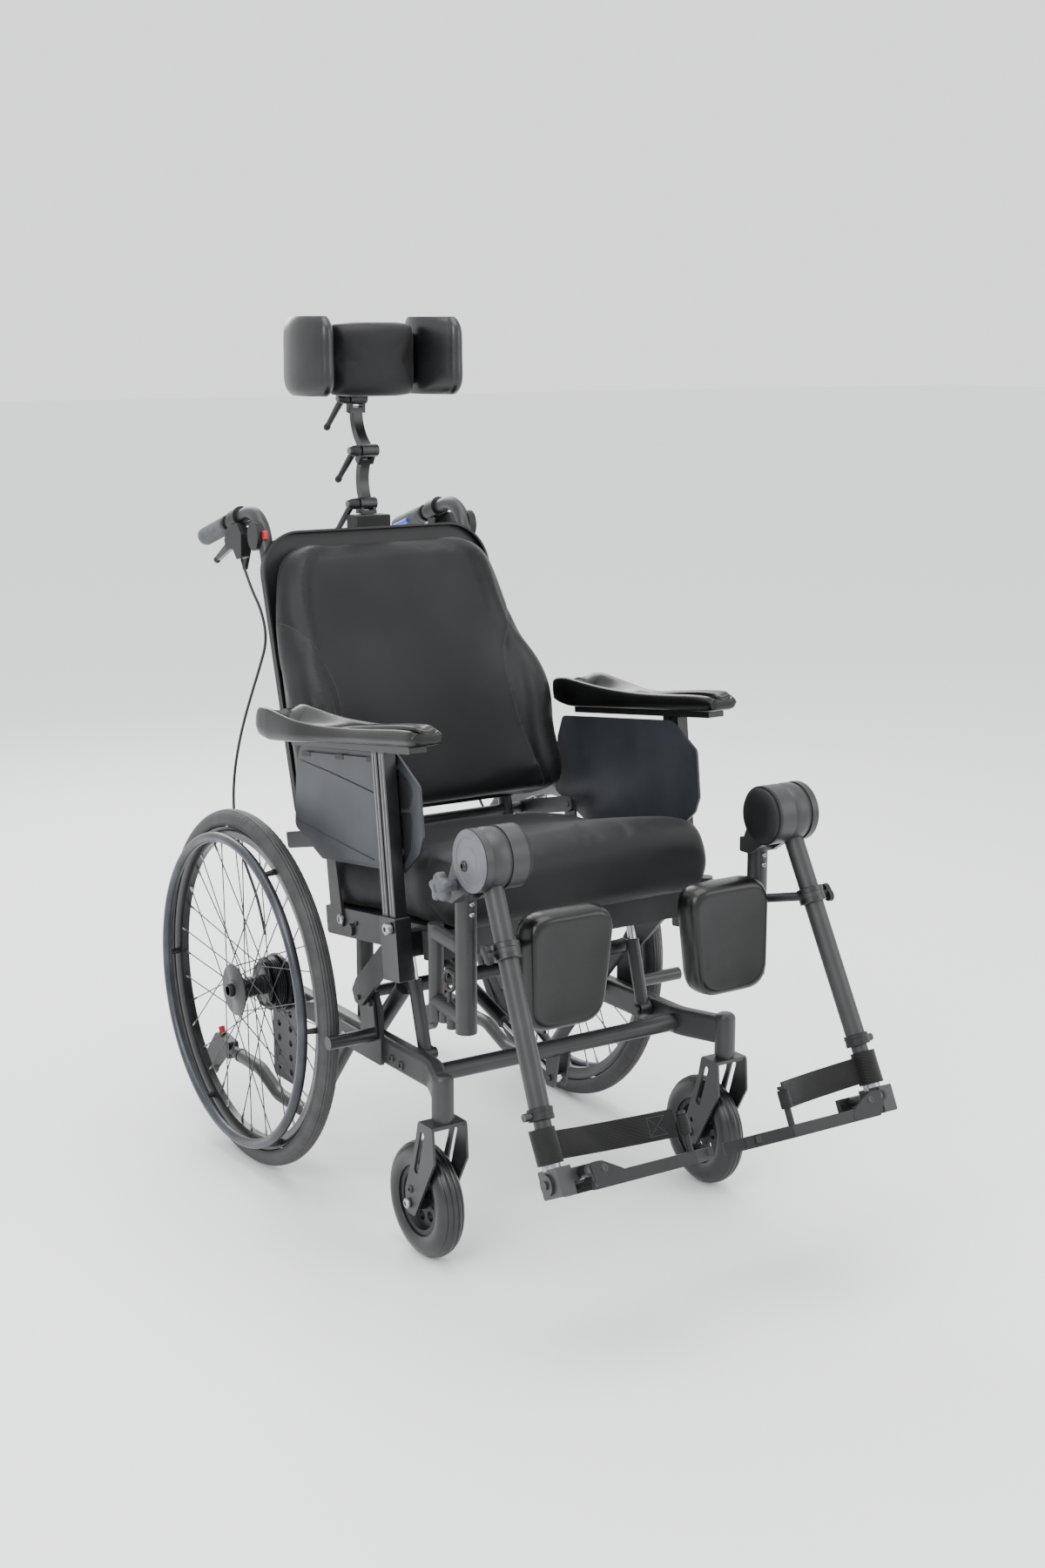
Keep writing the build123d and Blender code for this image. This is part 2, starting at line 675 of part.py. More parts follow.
def seat_frame():
    """Side plates with their channels, cross members, hinge straps, levers and legrest receivers."""
    rail = plate(
        SEAT,
        oblong(SEAT_REAR, SIDE_PLATE_LOW, SEAT_FRONT, SIDE_PLATE_TOP),
        SIDE_PLATE_IN,
        SIDE_PLATE_OUT,
        5,
    )
    rail += plate(SEAT, oblong(SEAT_REAR, CHANNEL_LOW, SEAT_FRONT, PAN_LOW), CHANNEL_IN, SIDE_PLATE_IN)
    rail += across(SEAT, 0, 0, POST_X - POST_R, SIDE_PLATE_OUT + 3, PIN_R)
    rail += across(SEAT, 0, 0, SIDE_PLATE_OUT, SIDE_PLATE_OUT + 5, 10)
    rail += across(SEAT, STRUT_TOP_U, 0, STRUT_X - STRUT_R, SIDE_PLATE_OUT, SPRING_PIN_R)
    strap_top = inside(SEAT, RECLINE_F, RECLINE_Z)
    strap_u, strap_w = strap_top[0], strap_top[1] + 12
    strap = [(-60, 2), (-20, 2), (strap_u + 14, strap_w), (strap_u - 14, strap_w)]
    rail += plate(SEAT, strap, SIDE_PLATE_OUT, STRAP_OUT, 8)
    rail += across(BACK, 0, 0, BRACKET_IN - 1, STRAP_OUT + 4, PIN_R)
    rail += plate(SEAT, oblong(SEAT_FRONT, -14, SEAT_FRONT + 28, 30), 0, HANGER_X)
    receiver = tube(at(-HANGER_X, HANGER_F, RECEIVER_LOW), at(-HANGER_X, HANGER_F, RECEIVER_TOP), RECEIVER_R)
    rail += receiver
    rail -= tube(
        at(-HANGER_X, HANGER_F, RECEIVER_TOP - 70), at(-HANGER_X, HANGER_F, RECEIVER_TOP), HANGER_PIN_R + RUN
    )
    frame = rail + mirrored(rail)
    rear_u = REAR_BAR_U
    frame += across(SEAT, rear_u, 4, -SIDE_PLATE_IN, SIDE_PLATE_IN, REAR_BAR_R)
    low_u, low_w = inside(SEAT, SPRING_TOP_F, SPRING_TOP_Z)
    lever = [(rear_u - 14, 10), (rear_u + 14, 10), (low_u + 10, low_w - 10), (low_u - 10, low_w - 10)]
    back_u, back_w = inside(SEAT, RECLINE_FOOT_F, RECLINE_FOOT_Z)
    arm = [(rear_u, 12), (rear_u, -12), (back_u - 10, back_w - 10), (back_u - 10, back_w + 10)]
    for lever_outline, half in ((lever, FORK_HALF), (arm, FORK_HALF)):
        wing = plate(SEAT, lever_outline, half, half + 4, 6)
        frame += wing + mirrored(wing)
    frame += across(SEAT, low_u, low_w, -FORK_HALF - 4, FORK_HALF + 4, SPRING_PIN_R)
    frame += across(SEAT, back_u, back_w, -FORK_HALF - 4, FORK_HALF + 4, SPRING_PIN_R)
    return frame


parts["seat_frame"] = seat_frame()

pan_outline = oblong(SEAT_REAR, PAN_LOW, SEAT_FRONT, SIDE_PLATE_TOP)
parts["seat_pan"] = plate(SEAT, pan_outline, -SIDE_PLATE_IN, SIDE_PLATE_IN)


def seat_cushion():
    """Seat cushion: crowned across, with drawn-in sides and a full rounded front edge."""
    low = SIDE_PLATE_TOP
    sections = []
    for u, half, swell, base, high, crown in (
        (-122, 190, 6, low + 26, 104, 2),
        (-114, 204, 10, low + 6, 118, 5),
        (-90, 214, 12, low - 2, 126, 8),
        (40, 216, 12, low - 2, 134, 9),
        (170, 216, 13, low - 2, 137, 9),
        (215, 222, 20, low - 2, 142, 9),
        (270, 224, 22, low - 2, 147, 8),
        (318, 222, 22, low - 2, 144, 8),
        (346, 214, 20, low + 4, 126, 6),
        (356, 206, 16, low + 20, 106, 4),
    ):
        plane = Plane(origin=spot(SEAT, 0, u, 0), x_dir=(1, 0, 0), z_dir=forward(SEAT))
        middle = (base + high) / 2 + 12
        sections.append(
            plane
            * arc_outline(
                [
                    (-half, base),
                    None,
                    (half, base),
                    (half + swell, middle),
                    (half + swell - 10, high - 6),
                    (0, high + crown),
                    (-half - swell + 10, high - 6),
                    (-half - swell, middle),
                ]
            )
        )
    cushion = soft_loft(sections)
    return cushion - plate(SEAT, oblong(-200, -100, 450, low), -300, 300)


parts["seat_cushion"] = seat_cushion()


def armrest_receiver():
    """Socket for the two posts of an armrest, bolted to the side plate, with its lock bolt."""
    low, high = -47.0, 52.0
    half = ARM_POST_HALF + 5
    outline = oblong(ARM_POST_U - half, low, ARM_POST_U + half, high)
    body = plate(SEAT, outline, ARM_POST_IN - 3, ARM_POST_OUT + 4, 3)
    half = ARM_POST_HALF + SLOT_RUN
    hollow = oblong(ARM_POST_U - half, low + 6, ARM_POST_U + half, high + 1)
    body -= plate(SEAT, hollow, ARM_POST_IN - SLOT_RUN, ARM_POST_OUT + SLOT_RUN)
    spacer = oblong(ARM_POST_U - 16, -12, ARM_POST_U + 16, 26)
    body += plate(SEAT, spacer, SIDE_PLATE_OUT, ARM_POST_IN - 3)
    bolt = across(SEAT, ARM_POST_U - 18, 30, ARM_POST_OUT + 4, ARM_POST_OUT + 15, 9)
    return group(body, bolt)


parts["armrest_receivers"] = both(armrest_receiver())


# ------------------------------------------------------------------ armrests
def armrest_pad():
    """Armrest pad: an elbow trough at the rear that runs out into a flat front."""
    inner, outer = 248.0, 330.0
    base_w = ARM_RAIL_W + ARM_RAIL_T
    sections = []
    for u, out_wall, in_wall, floor_w, shift, lift in (
        (-98, 50, 50, 44, 0, 16),
        (-84, 54, 52, 34, 3, 8),
        (-40, 50, 48, 20, 4, 0),
        (30, 36, 38, 18, 2, 0),
        (90, 28, 32, 20, -8, 0),
        (160, 25, 28, 24, -18, 0),
        (300, 26, 27, 30, -26, 0),
        (346, 24, 24, 28, -28, 1),
        (356, 19, 19, 22, -31, 4),
    ):
        plane = Plane(origin=spot(SEAT, 0, u, base_w), x_dir=(-1, 0, 0), z_dir=-forward(SEAT))
        edge = outer + shift
        middle = (inner + edge) / 2
        sections.append(
            plane
            * arc_outline(
                [
                    (inner + 6, lift),
                    None,
                    (edge - 8, lift),
                    (edge + 1, (out_wall + lift) / 2),
                    (edge - 1, out_wall - 3),
                    (edge - 5, out_wall),
                    (edge - 10, out_wall - 3),
                    (middle, floor_w),
                    (inner + 10, in_wall - 3),
                    (inner + 5, in_wall),
                    (inner + 1, in_wall - 3),
                    (inner, (in_wall + lift) / 2),
                ]
            )
        )
    return soft_loft(sections)


def armrest_frame():
    """Two posts and the flat rail under the pad."""
    low = -36.0
    rail_end = 330.0
    frame = plate(
        SEAT,
        oblong(-52, ARM_RAIL_W, rail_end, ARM_RAIL_W + ARM_RAIL_T),
        262,
        292,
        2,
    )
    for start in (-ARM_POST_HALF, 2):
        post = oblong(ARM_POST_U + start, low, ARM_POST_U + start + 18, ARM_RAIL_W)
        frame += plate(SEAT, post, ARM_POST_IN, ARM_POST_OUT, 2)
    return frame


def side_panel():
    """Side panel: a flat sheet with a raised cover over its rear part, bolted to the posts."""
    sheet = plate(
        SEAT,
        [
            (-104, 262),
            (-124, 165),
            (-35, 117),
            (232, 117),
            (284, 150),
            (298, 175),
            (298, 252),
            (236, 299),
            (-84, 299),
        ],
        PANEL_IN,
        PANEL_IN + PANEL_T,
        12,
    )
    cover = plate(
        SEAT,
        [(-96, 256), (-114, 168), (-32, 124), (190, 124), (190, 291), (-78, 291)],
        PANEL_IN + PANEL_T,
        PANEL_IN + PANEL_T + PANEL_COVER_T,
        8,
    )
    for du in (-11, 11):
        for w in (150, 280):
            sheet += across(SEAT, ARM_POST_U + du, w, PANEL_IN + PANEL_T, ARM_POST_IN, 7)
    return sheet + cover


arm_frame = armrest_frame()
pair("armrest_pad", armrest_pad() - arm_frame)
pair("armrest_frame", arm_frame)
pair("side_panel", side_panel())


# ------------------------------------------------------------------ tilt and recline linkages
def unit(f0, z0, f1, z1):
    length = hypot(f1 - f0, z1 - z0)
    return (f1 - f0) / length, (z1 - z0) / length, length


strut_top = spot(SEAT, 0, STRUT_TOP_U, 0)
STRUT_TOP_F = AXLE_Y - strut_top.Y
STRUT_TOP_Z = strut_top.Z


def along(f0, z0, f1, z1, distance, out):
    """A point on the line between two pivots, at a distance from the first."""
    df, dz, _ = unit(f0, z0, f1, z1)
    return at(-out, f0 + df * distance, z0 + dz * distance)


STRUT = (STRUT_FOOT_F, STRUT_FOOT_Z, STRUT_TOP_F, STRUT_TOP_Z)
STRUT_LENGTH = unit(*STRUT)[2]
tube_body = tube(along(*STRUT, 8, STRUT_X), along(*STRUT, STRUT_TUBE_END, STRUT_X), STRUT_R)
tube_body -= tube(
    along(*STRUT, STRUT_ROD_START - 24, STRUT_X),
    along(*STRUT, STRUT_TUBE_END + 1, STRUT_X),
    STRUT_ROD_R + RUN,
)
tube_body += across(FLOOR, STRUT_FOOT_F, STRUT_FOOT_Z, STRUT_X - STRUT_R, STRUT_X + STRUT_R, PIN_R + 7)
tube_body -= across(FLOOR, STRUT_FOOT_F, STRUT_FOOT_Z, STRUT_X - 30, STRUT_X + 30, PIN_R + RUN)
parts["tilt_strut_tubes"] = both(tube_body)

rod_body = tube(along(*STRUT, STRUT_ROD_START, STRUT_X), along(*STRUT, STRUT_LENGTH, STRUT_X), STRUT_ROD_R)
STRUT_EYE_R = SPRING_PIN_R + OPEN_PIVOT
rod_body += across(SEAT, STRUT_TOP_U, 0, STRUT_X - STRUT_R + 1, STRUT_X + STRUT_R, STRUT_EYE_R + 4)
rod_body -= across(SEAT, STRUT_TOP_U, 0, STRUT_X - 30, STRUT_X + 30, STRUT_EYE_R)
parts["tilt_strut_rods"] = both(rod_body)


ROD_OVERLAP = 40.0  # rod inside its cylinder at rest


def gas_spring(foot_f, foot_z, top_f, top_z, tube_r, tube_length, rod_at_top):
    """Gas spring between two pivots: its cylinder and its rod, each with an eye."""
    line = (foot_f, foot_z, top_f, top_z) if rod_at_top else (top_f, top_z, foot_f, foot_z)
    length = unit(*line)[2]
    rod_start = tube_length - ROD_OVERLAP
    tube_eye, rod_eye = (line[0], line[1]), (line[2], line[3])
    open_eye = SPRING_PIN_R + OPEN_PIVOT
    tube_bore, rod_bore = (SPRING_PIN_R + RUN, open_eye) if rod_at_top else (open_eye, SPRING_PIN_R + RUN)
    cylinder = tube(along(*line, 6, 0), along(*line, tube_length, 0), tube_r)
    cylinder -= tube(along(*line, 20, 0), along(*line, tube_length + 1, 0), SPRING_ROD_R + RUN)
    cylinder += across(FLOOR, *tube_eye, -EYE_HALF, EYE_HALF, tube_bore + 4)
    cylinder -= across(FLOOR, *tube_eye, -EYE_HALF - 6, EYE_HALF + 6, tube_bore)
    rod = tube(along(*line, rod_start, 0), along(*line, length - 4, 0), SPRING_ROD_R)
    rod += across(FLOOR, *rod_eye, -EYE_HALF, EYE_HALF, rod_bore + 4)
    rod -= across(FLOOR, *rod_eye, -EYE_HALF - 6, EYE_HALF + 6, rod_bore)
    return cylinder, rod


cylinder, rod = gas_spring(
    SPRING_FOOT_F, SPRING_FOOT_Z, SPRING_TOP_F, SPRING_TOP_Z, SPRING_R, 196, rod_at_top=False
)
parts["tilt_spring_cylinder"] = cylinder
parts["tilt_spring_rod"] = rod
cylinder, rod = gas_spring(
    RECLINE_FOOT_F, RECLINE_FOOT_Z, RECLINE_TOP_F, RECLINE_TOP_Z, RECLINE_TUBE_R, 172, rod_at_top=True
)
parts["recline_spring_cylinder"] = cylinder
parts["recline_spring_rod"] = rod


# ------------------------------------------------------------------ back unit
UPPER_BAR_V = 177.0


def back_spot(out, d, v):
    return spot(BACK, out, d, v)


def grip_point(distance):
    """A point on the grip's centre line, at a distance in front of its rear end."""
    slope = radians(GRIP_SLOPE)
    return at(-CANE_X, GRIP_END_F + distance * cos(slope), GRIP_END_Z + distance * sin(slope))


def back_canes():
    """Canes that bend into the push handles, with their cross tubes and recline brackets."""
    lean, slope = radians(BACK_REST), radians(GRIP_SLOPE)
    foot_f = RECLINE_F + CANE_D * cos(lean)
    foot_z = RECLINE_Z + CANE_D * sin(lean)
    rise = GRIP_END_Z - foot_z + (foot_f - GRIP_END_F) * sin(slope) / cos(slope)
    bend_v = rise / (cos(lean) + sin(lean) * sin(slope) / cos(slope))
    corners = [back_spot(CANE_X, CANE_D, -4), back_spot(CANE_X, CANE_D, bend_v), grip_point(4)]
    cane = bent(corners, CANE_R, [52])
    pivot_bracket = plate(
        BACK,
        [(CANE_D - 12, -6), (CANE_D - 12, 22), (0, 14), (13, 8), (13, -10), (0, -14)],
        BRACKET_IN,
        SIDE_PLATE_OUT - GAP - 1,
        5,
    )
    pivot_bracket -= across(BACK, 0, 0, BRACKET_IN - 3, SIDE_PLATE_OUT + 3, PIN_R + RUN)
    cane += pivot_bracket
    canes = cane + mirrored(cane)
    canes += across(BACK, CANE_D, 8, -SIDE_PLATE_IN - 2, SIDE_PLATE_IN + 2, 10)
    canes += across(BACK, CANE_D, UPPER_BAR_V, -CANE_X, CANE_X, 9)
    top_d, top_v = inside(BACK, RECLINE_TOP_F, RECLINE_TOP_Z)
    wing = plate(
        BACK,
        [
            (CANE_D + 8, UPPER_BAR_V - 9),
            (CANE_D + 8, UPPER_BAR_V + 9),
            (top_d - 9, top_v + 9),
            (top_d - 9, top_v - 9),
        ],
        FORK_HALF,
        FORK_HALF + 4,
        4,
    )
    canes += wing + mirrored(wing)
    canes += across(BACK, top_d, top_v, -FORK_HALF - 4, FORK_HALF + 4, SPRING_PIN_R)
    return canes


parts["back_canes"] = back_canes()


def back_shell():
    """Back shell: a tray with rounded corners and a low rim, and the headrest socket behind it."""

    def tray(inset, depth_from, depth_to):
        half = SHELL_HALF - inset
        outline = oblong(-half, SHELL_LOW + inset, half, SHELL_TOP - inset)
        plane = Plane(origin=back_spot(0, depth_from, 0), x_dir=(1, 0, 0), z_dir=forward(BACK))
        face = rounded(outline, 0)
        corners = face.vertices().sort_by(Axis.Y)
        face = fillet(corners[2:], SHELL_CORNER - inset)
        face = fillet(face.vertices().sort_by(Axis.Y)[:2], 30 - inset)
        return extrude(plane * face, depth_to - depth_from)

    shell = tray(0, SHELL_D, SHELL_D + SHELL_RIM) - tray(4, SHELL_D + SHELL_T, SHELL_D + SHELL_RIM + 1)
    rear_f, front_f = POST_F - POST_BAR - 6, -113
    socket = plate(FLOOR, oblong(rear_f, 1044, front_f, SOCKET_TOP), -33, 33, 3)
    foot = plate(FLOOR, oblong(rear_f, 990, -118, 1046), -20, 20)
    guide = Pos(at(0, POST_F, 985)) * Box(2 * POST_BAR + 4 * RUN, 2 * POST_BAR + 4 * RUN, 110, align=BASE)
    socket = (socket + foot) - shell - guide
    return group(shell, max(socket.solids(), key=lambda s: s.volume))


parts["back_shell"] = back_shell()


def back_cushion():
    """Back cushion: side bolsters that swell in the lower half and run out towards the top."""
    back_d = SHELL_D + SHELL_RIM + GAP
    sections = []
    for v, half, wing, centre in (
        (30, 226, -40, -86),
        (44, 238, 2, -80),
        (130, 240, 6, -78),
        (220, 240, 4, -76),
        (300, 236, -34, -76),
        (370, 229, -62, -78),
        (440, 216, -72, -80),
        (476, 202, -80, -86),
        (496, 178, -92, -96),
        (506, 156, -108, -112),
    ):
        plane = Plane(origin=back_spot(0, 0, v), x_dir=(1, 0, 0), z_dir=upward(BACK))
        lip = (wing - back_d) * 0.16 + 4
        outline = arc_outline(
            [
                (-half + 14, back_d),
                (-half - 1, (back_d + wing) / 2),
                (-half + 6, wing - lip),
                (-half + 20, wing),
                (-half + 52, wing - lip),
                (0, centre),
                (half - 52, wing - lip),
                (half - 20, wing),
                (half - 6, wing - lip),
                (half + 1, (back_d + wing) / 2),
                (half - 14, back_d),
                None,
            ]
        )
        sections.append(plane * mirror(outline, Plane.XZ))
    return soft_loft(sections)


parts["back_cushion"] = back_cushion()

grip = tube(grip_point(0), grip_point(GRIP_LENGTH), GRIP_R, CANE_R)
grip += tube(grip_point(0), grip_point(3.9), GRIP_R)
parts["push_grips"] = both(grip)


HOUSING_AT = 150.0  # brake housing, from the end of the grip
housing_point = grip_point(HOUSING_AT)
HOUSING = (AXLE_Y - housing_point.Y, housing_point.Z, 0.0)
BRAKE_PIVOT = (8.0, -39.0)
TRIGGER_PIVOT = (-2.0, -49.0)
LEVER_MID = CANE_X + 13
LEVER_HALF = 4.0
LEVER_PIN_R = 3.0
TRIGGER_IN = CANE_X - 19
TRIGGER_OUT = TRIGGER_IN + 7


def lever_housing():
    """Clamp round the cane with the body that holds the brake lever."""
    housing = tube(grip_point(HOUSING_AT - 18), grip_point(HOUSING_AT + 12), CANE_R + 6, CANE_R)
    body = plate(
        HOUSING,
        [(-12, -19), (30, -5), (48, -23), (46, -63), (28, -69), (12, -51), (-14, -57), (-20, -39)],
        LEVER_MID - 8,
        LEVER_MID + 8,
        5,
    )
    body -= tube(grip_point(HOUSING_AT - 60), grip_point(HOUSING_AT + 60), CANE_R)
    slot = [(-40, -27), (20, -27), (20, -80), (-40, -80)]
    body -= plate(HOUSING, slot, LEVER_MID - LEVER_HALF - GAP, LEVER_MID + LEVER_HALF + GAP)
    body += across(HOUSING, *BRAKE_PIVOT, LEVER_MID - 8, LEVER_MID + 8, LEVER_PIN_R)
    return housing + body


def brake_lever():
    """Hand lever of a drum brake, with a ball end."""
    f, z = BRAKE_PIVOT
    outline = [(8, 8), (8, -8), (-30, -22), (-74, -42), (-76, -34), (-34, -8), (-8, 8)]
    blade = plate(
        HOUSING,
        [(f + df, z + dz) for df, dz in outline],
        LEVER_MID - LEVER_HALF,
        LEVER_MID + LEVER_HALF,
        3,
    )
    blade += Pos(spot(HOUSING, LEVER_MID, f - 76, z - 39)) * Sphere(6.5)
    return blade - across(HOUSING, f, z, LEVER_MID - 8, LEVER_MID + 8, LEVER_PIN_R + RUN)


def trigger():
    """Short release trigger below the grip on the inner side of the cane."""
    f, z = TRIGGER_PIVOT
    outline = [(-7, 7), (7, 7), (6, -10), (-10, -44), (-18, -42), (-8, -8)]
    lever = plate(HOUSING, [(f + df, z + dz) for df, dz in outline], TRIGGER_IN, TRIGGER_OUT, 3)
    return lever - across(HOUSING, f, z, TRIGGER_IN - 1, TRIGGER_OUT + 1, LEVER_PIN_R + RUN)


def trigger_bracket():
    """Bracket and pin that carry a release trigger under the cane."""
    f, z = TRIGGER_PIVOT
    outline = [(-8, -7), (8, -7), (16, 34), (-12, 30)]
    outline = [(f + df, z + dz) for df, dz in outline]
    bracket = plate(HOUSING, outline, TRIGGER_OUT + GAP, CANE_X - 2, 3)
    bracket -= tube(grip_point(60), grip_point(HOUSING_AT + 60), CANE_R)
    return bracket + across(HOUSING, f, z, TRIGGER_IN - 2, CANE_X - 4, LEVER_PIN_R)


parts["lever_housings"] = both(lever_housing() + trigger_bracket())
pair("brake_lever", brake_lever())
parts["recline_trigger"] = trigger()
parts["tilt_trigger"] = mirrored(trigger())


# ------------------------------------------------------------------ headrest
EAR_IN = LINK_HALF + GAP


def tongue(f, z):
    """Eye in the middle of a joint."""
    return across(FLOOR, f, z, -LINK_HALF, LINK_HALF, KNUCKLE_R)


def ears(f, z):
    """Two outer ears of a joint with the pin through them."""
    ear = across(FLOOR, f, z, EAR_IN, EAR_OUT, KNUCKLE_R)
    return ear + mirrored(ear) + across(FLOOR, f, z, -EAR_OUT - 2, EAR_OUT + 2, 4)


def clamp_lever(f, z):
    """Ratchet lever that tightens a joint, hanging down behind it."""
    hub = across(FLOOR, f, z, EAR_OUT, EAR_OUT + 22, 7)
    arm = tube(spot(FLOOR, EAR_OUT + 14, f - 4, z - 4), spot(FLOOR, EAR_OUT + 20, f - 44, z - 50), 4)
    return hub + arm


def curved_link(lower, upper):
    """Curved square bar with an eye at its lower joint and two ears at its upper one."""
    (f0, z0), (f1, z1) = lower, upper
    chord = hypot(f1 - f0, z1 - z0)
    mid_f = (f0 + f1) / 2 - LINK_BULGE * (z1 - z0) / chord
    mid_z = (z0 + z1) / 2 + LINK_BULGE * (f1 - f0) / chord
    path = ThreePointArc(at(0, f0, z0), at(0, mid_f, mid_z), at(0, f1, z1))
    start = Plane(origin=path @ 0, x_dir=(1, 0, 0), z_dir=path % 0)
    bar = sweep(start * Rectangle(2 * LINK_HALF, LINK_DEPTH), path=path)
    shoulder = sweep(start * Rectangle(2 * EAR_OUT, LINK_DEPTH), path=path)
    shoulder &= across(FLOOR, f1, z1, -EAR_OUT, EAR_OUT, KNUCKLE_R + 15)
    room = across(FLOOR, f1, z1, -EAR_IN, EAR_IN, KNUCKLE_R + 6)
    link = bar + shoulder - room
    link = max(link.solids(), key=lambda s: s.volume) + tongue(f0, z0) + ears(f1, z1)
    return link - across(FLOOR, f0, z0, -EAR_IN - 1, EAR_IN + 1, 4 + RUN)


def headrest_post():
    """Square post that slides in its socket, with the ears of the lowest joint."""
    f, z = HEADREST_PIVOTS[0]
    yoke_z = z - KNUCKLE_R - 6.5
    post = Pos(at(0, POST_F, yoke_z - 84)) * Box(2 * POST_BAR, 2 * POST_BAR, 87, align=BASE)
    post += Pos(at(0, f, yoke_z)) * Box(2 * EAR_OUT, 22, 6, align=BASE)
    for x in (-1, 1):
        post += Pos(at(x * (EAR_IN + EAR_OUT) / 2, f, yoke_z)) * Box(EAR_OUT - EAR_IN, 18, 14, align=BASE)
    return post + ears(f, z)


low_pivot, mid_pivot, top_pivot = HEADREST_PIVOTS
parts["headrest_post"] = headrest_post() + clamp_lever(*low_pivot)
parts["headrest_lower_link"] = curved_link(low_pivot, mid_pivot) + clamp_lever(*mid_pivot)
parts["headrest_upper_link"] = curved_link(mid_pivot, top_pivot) + clamp_lever(*top_pivot)

PAD_Z = 1347.0
PAD_BACK_F = -138.0


def headrest_pad():
    """Centre pad between two forward-turned wings, on a back plate with its joint."""
    centre = []
    for z, grow in ((-60, -12), (-52, -3), (0, 0), (52, -3), (60, -12)):
        depth = 54 + grow
        centre.append(
            Plane(origin=at(0, PAD_BACK_F, PAD_Z + z), x_dir=(-1, 0, 0), z_dir=(0, 0, 1))
            * arc_outline(
                [
                    (-74 - grow / 4, 5),
                    None,
                    (74 + grow / 4, 5),
                    (78, depth / 2),
                    (66, depth - 6),
                    (0, depth + 3),
                    (-66, depth - 6),
                    (-78, depth / 2),
                ]
            )
        )
    pad = soft_loft(centre)
    wing = []
    for z, grow in ((-64, -16), (-54, -5), (0, 0), (56, -5), (68, -16)):
        base_f = -28 - grow * 0.9
        tip_f = 108 + grow * 1.2
        wing.append(
            Plane(origin=at(0, PAD_BACK_F, PAD_Z + 4 + z), x_dir=(-1, 0, 0), z_dir=(0, 0, 1))
            * arc_outline(
                [
                    (92, base_f + 4),
                    (118, base_f - 4),
                    (142 + grow / 2, base_f),
                    (152 + grow / 2, (base_f + tip_f) / 2 - 8),
                    (136 + grow / 3, tip_f - 6),
                    (126, tip_f),
                    (114 - grow / 3, tip_f - 8),
                    (90 - grow / 3, (base_f + tip_f) / 2),
                ]
            )
        )
    wing = soft_loft(wing)
    board = plate(FLOOR, oblong(PAD_BACK_F, PAD_Z - 44, PAD_BACK_F + 5, PAD_Z + 44), -90, 90)
    f, z = top_pivot
    stem_outline = [
        (f - 4, z + 2),
        (f + 10, z),
        (PAD_BACK_F, PAD_Z - 40),
        (PAD_BACK_F, PAD_Z + 10),
        (f - 6, PAD_Z - 36),
    ]
    stem = plate(FLOOR, stem_outline, -8.7, 8.7)
    bracket = board + stem + tongue(f, z)
    bracket -= across(FLOOR, f, z, -EAR_IN - 1, EAR_IN + 1, 4 + RUN)
    pad = pad - bracket
    wing = wing - bracket - pad
    return group(bracket, pad, wing, mirrored(wing))


parts["headrest_pad"] = headrest_pad()


# ------------------------------------------------------------------ legrests
HEAD_PIN_R = 9.0
CALF_CLAMP_AT = 134.0
CALF_PIN_R = 5.0
CALF_PIN_IN = 182.0
CALF_PIN_OUT = 236.0


def on_leg(distance, inward=0.0):
    """A point on the leg tube's centre line, at a distance from the elevation axis."""
    angle = radians(LEG_ANGLE)
    out = LEG_X + LEG_SPLAY * distance - inward
    return at(-out, HEAD_F + cos(angle) * distance, HEAD_Z - sin(angle) * distance)


def foot_plane(b):
    """Plane square to the leg tube at a height above the foot; x is outward and y forward."""
    lean = radians(FOOT[2])
    return Plane(origin=spot(FOOT, 0, 0, b), x_dir=(-1, 0, 0), z_dir=(0, sin(lean), cos(lean)))


def foot_block(x0, x1, a0, a1, b0, b1):
    """Block with its sides along the foot's own directions."""
    return plate(FOOT, oblong(a0, b0, a1, b1), x0, x1)


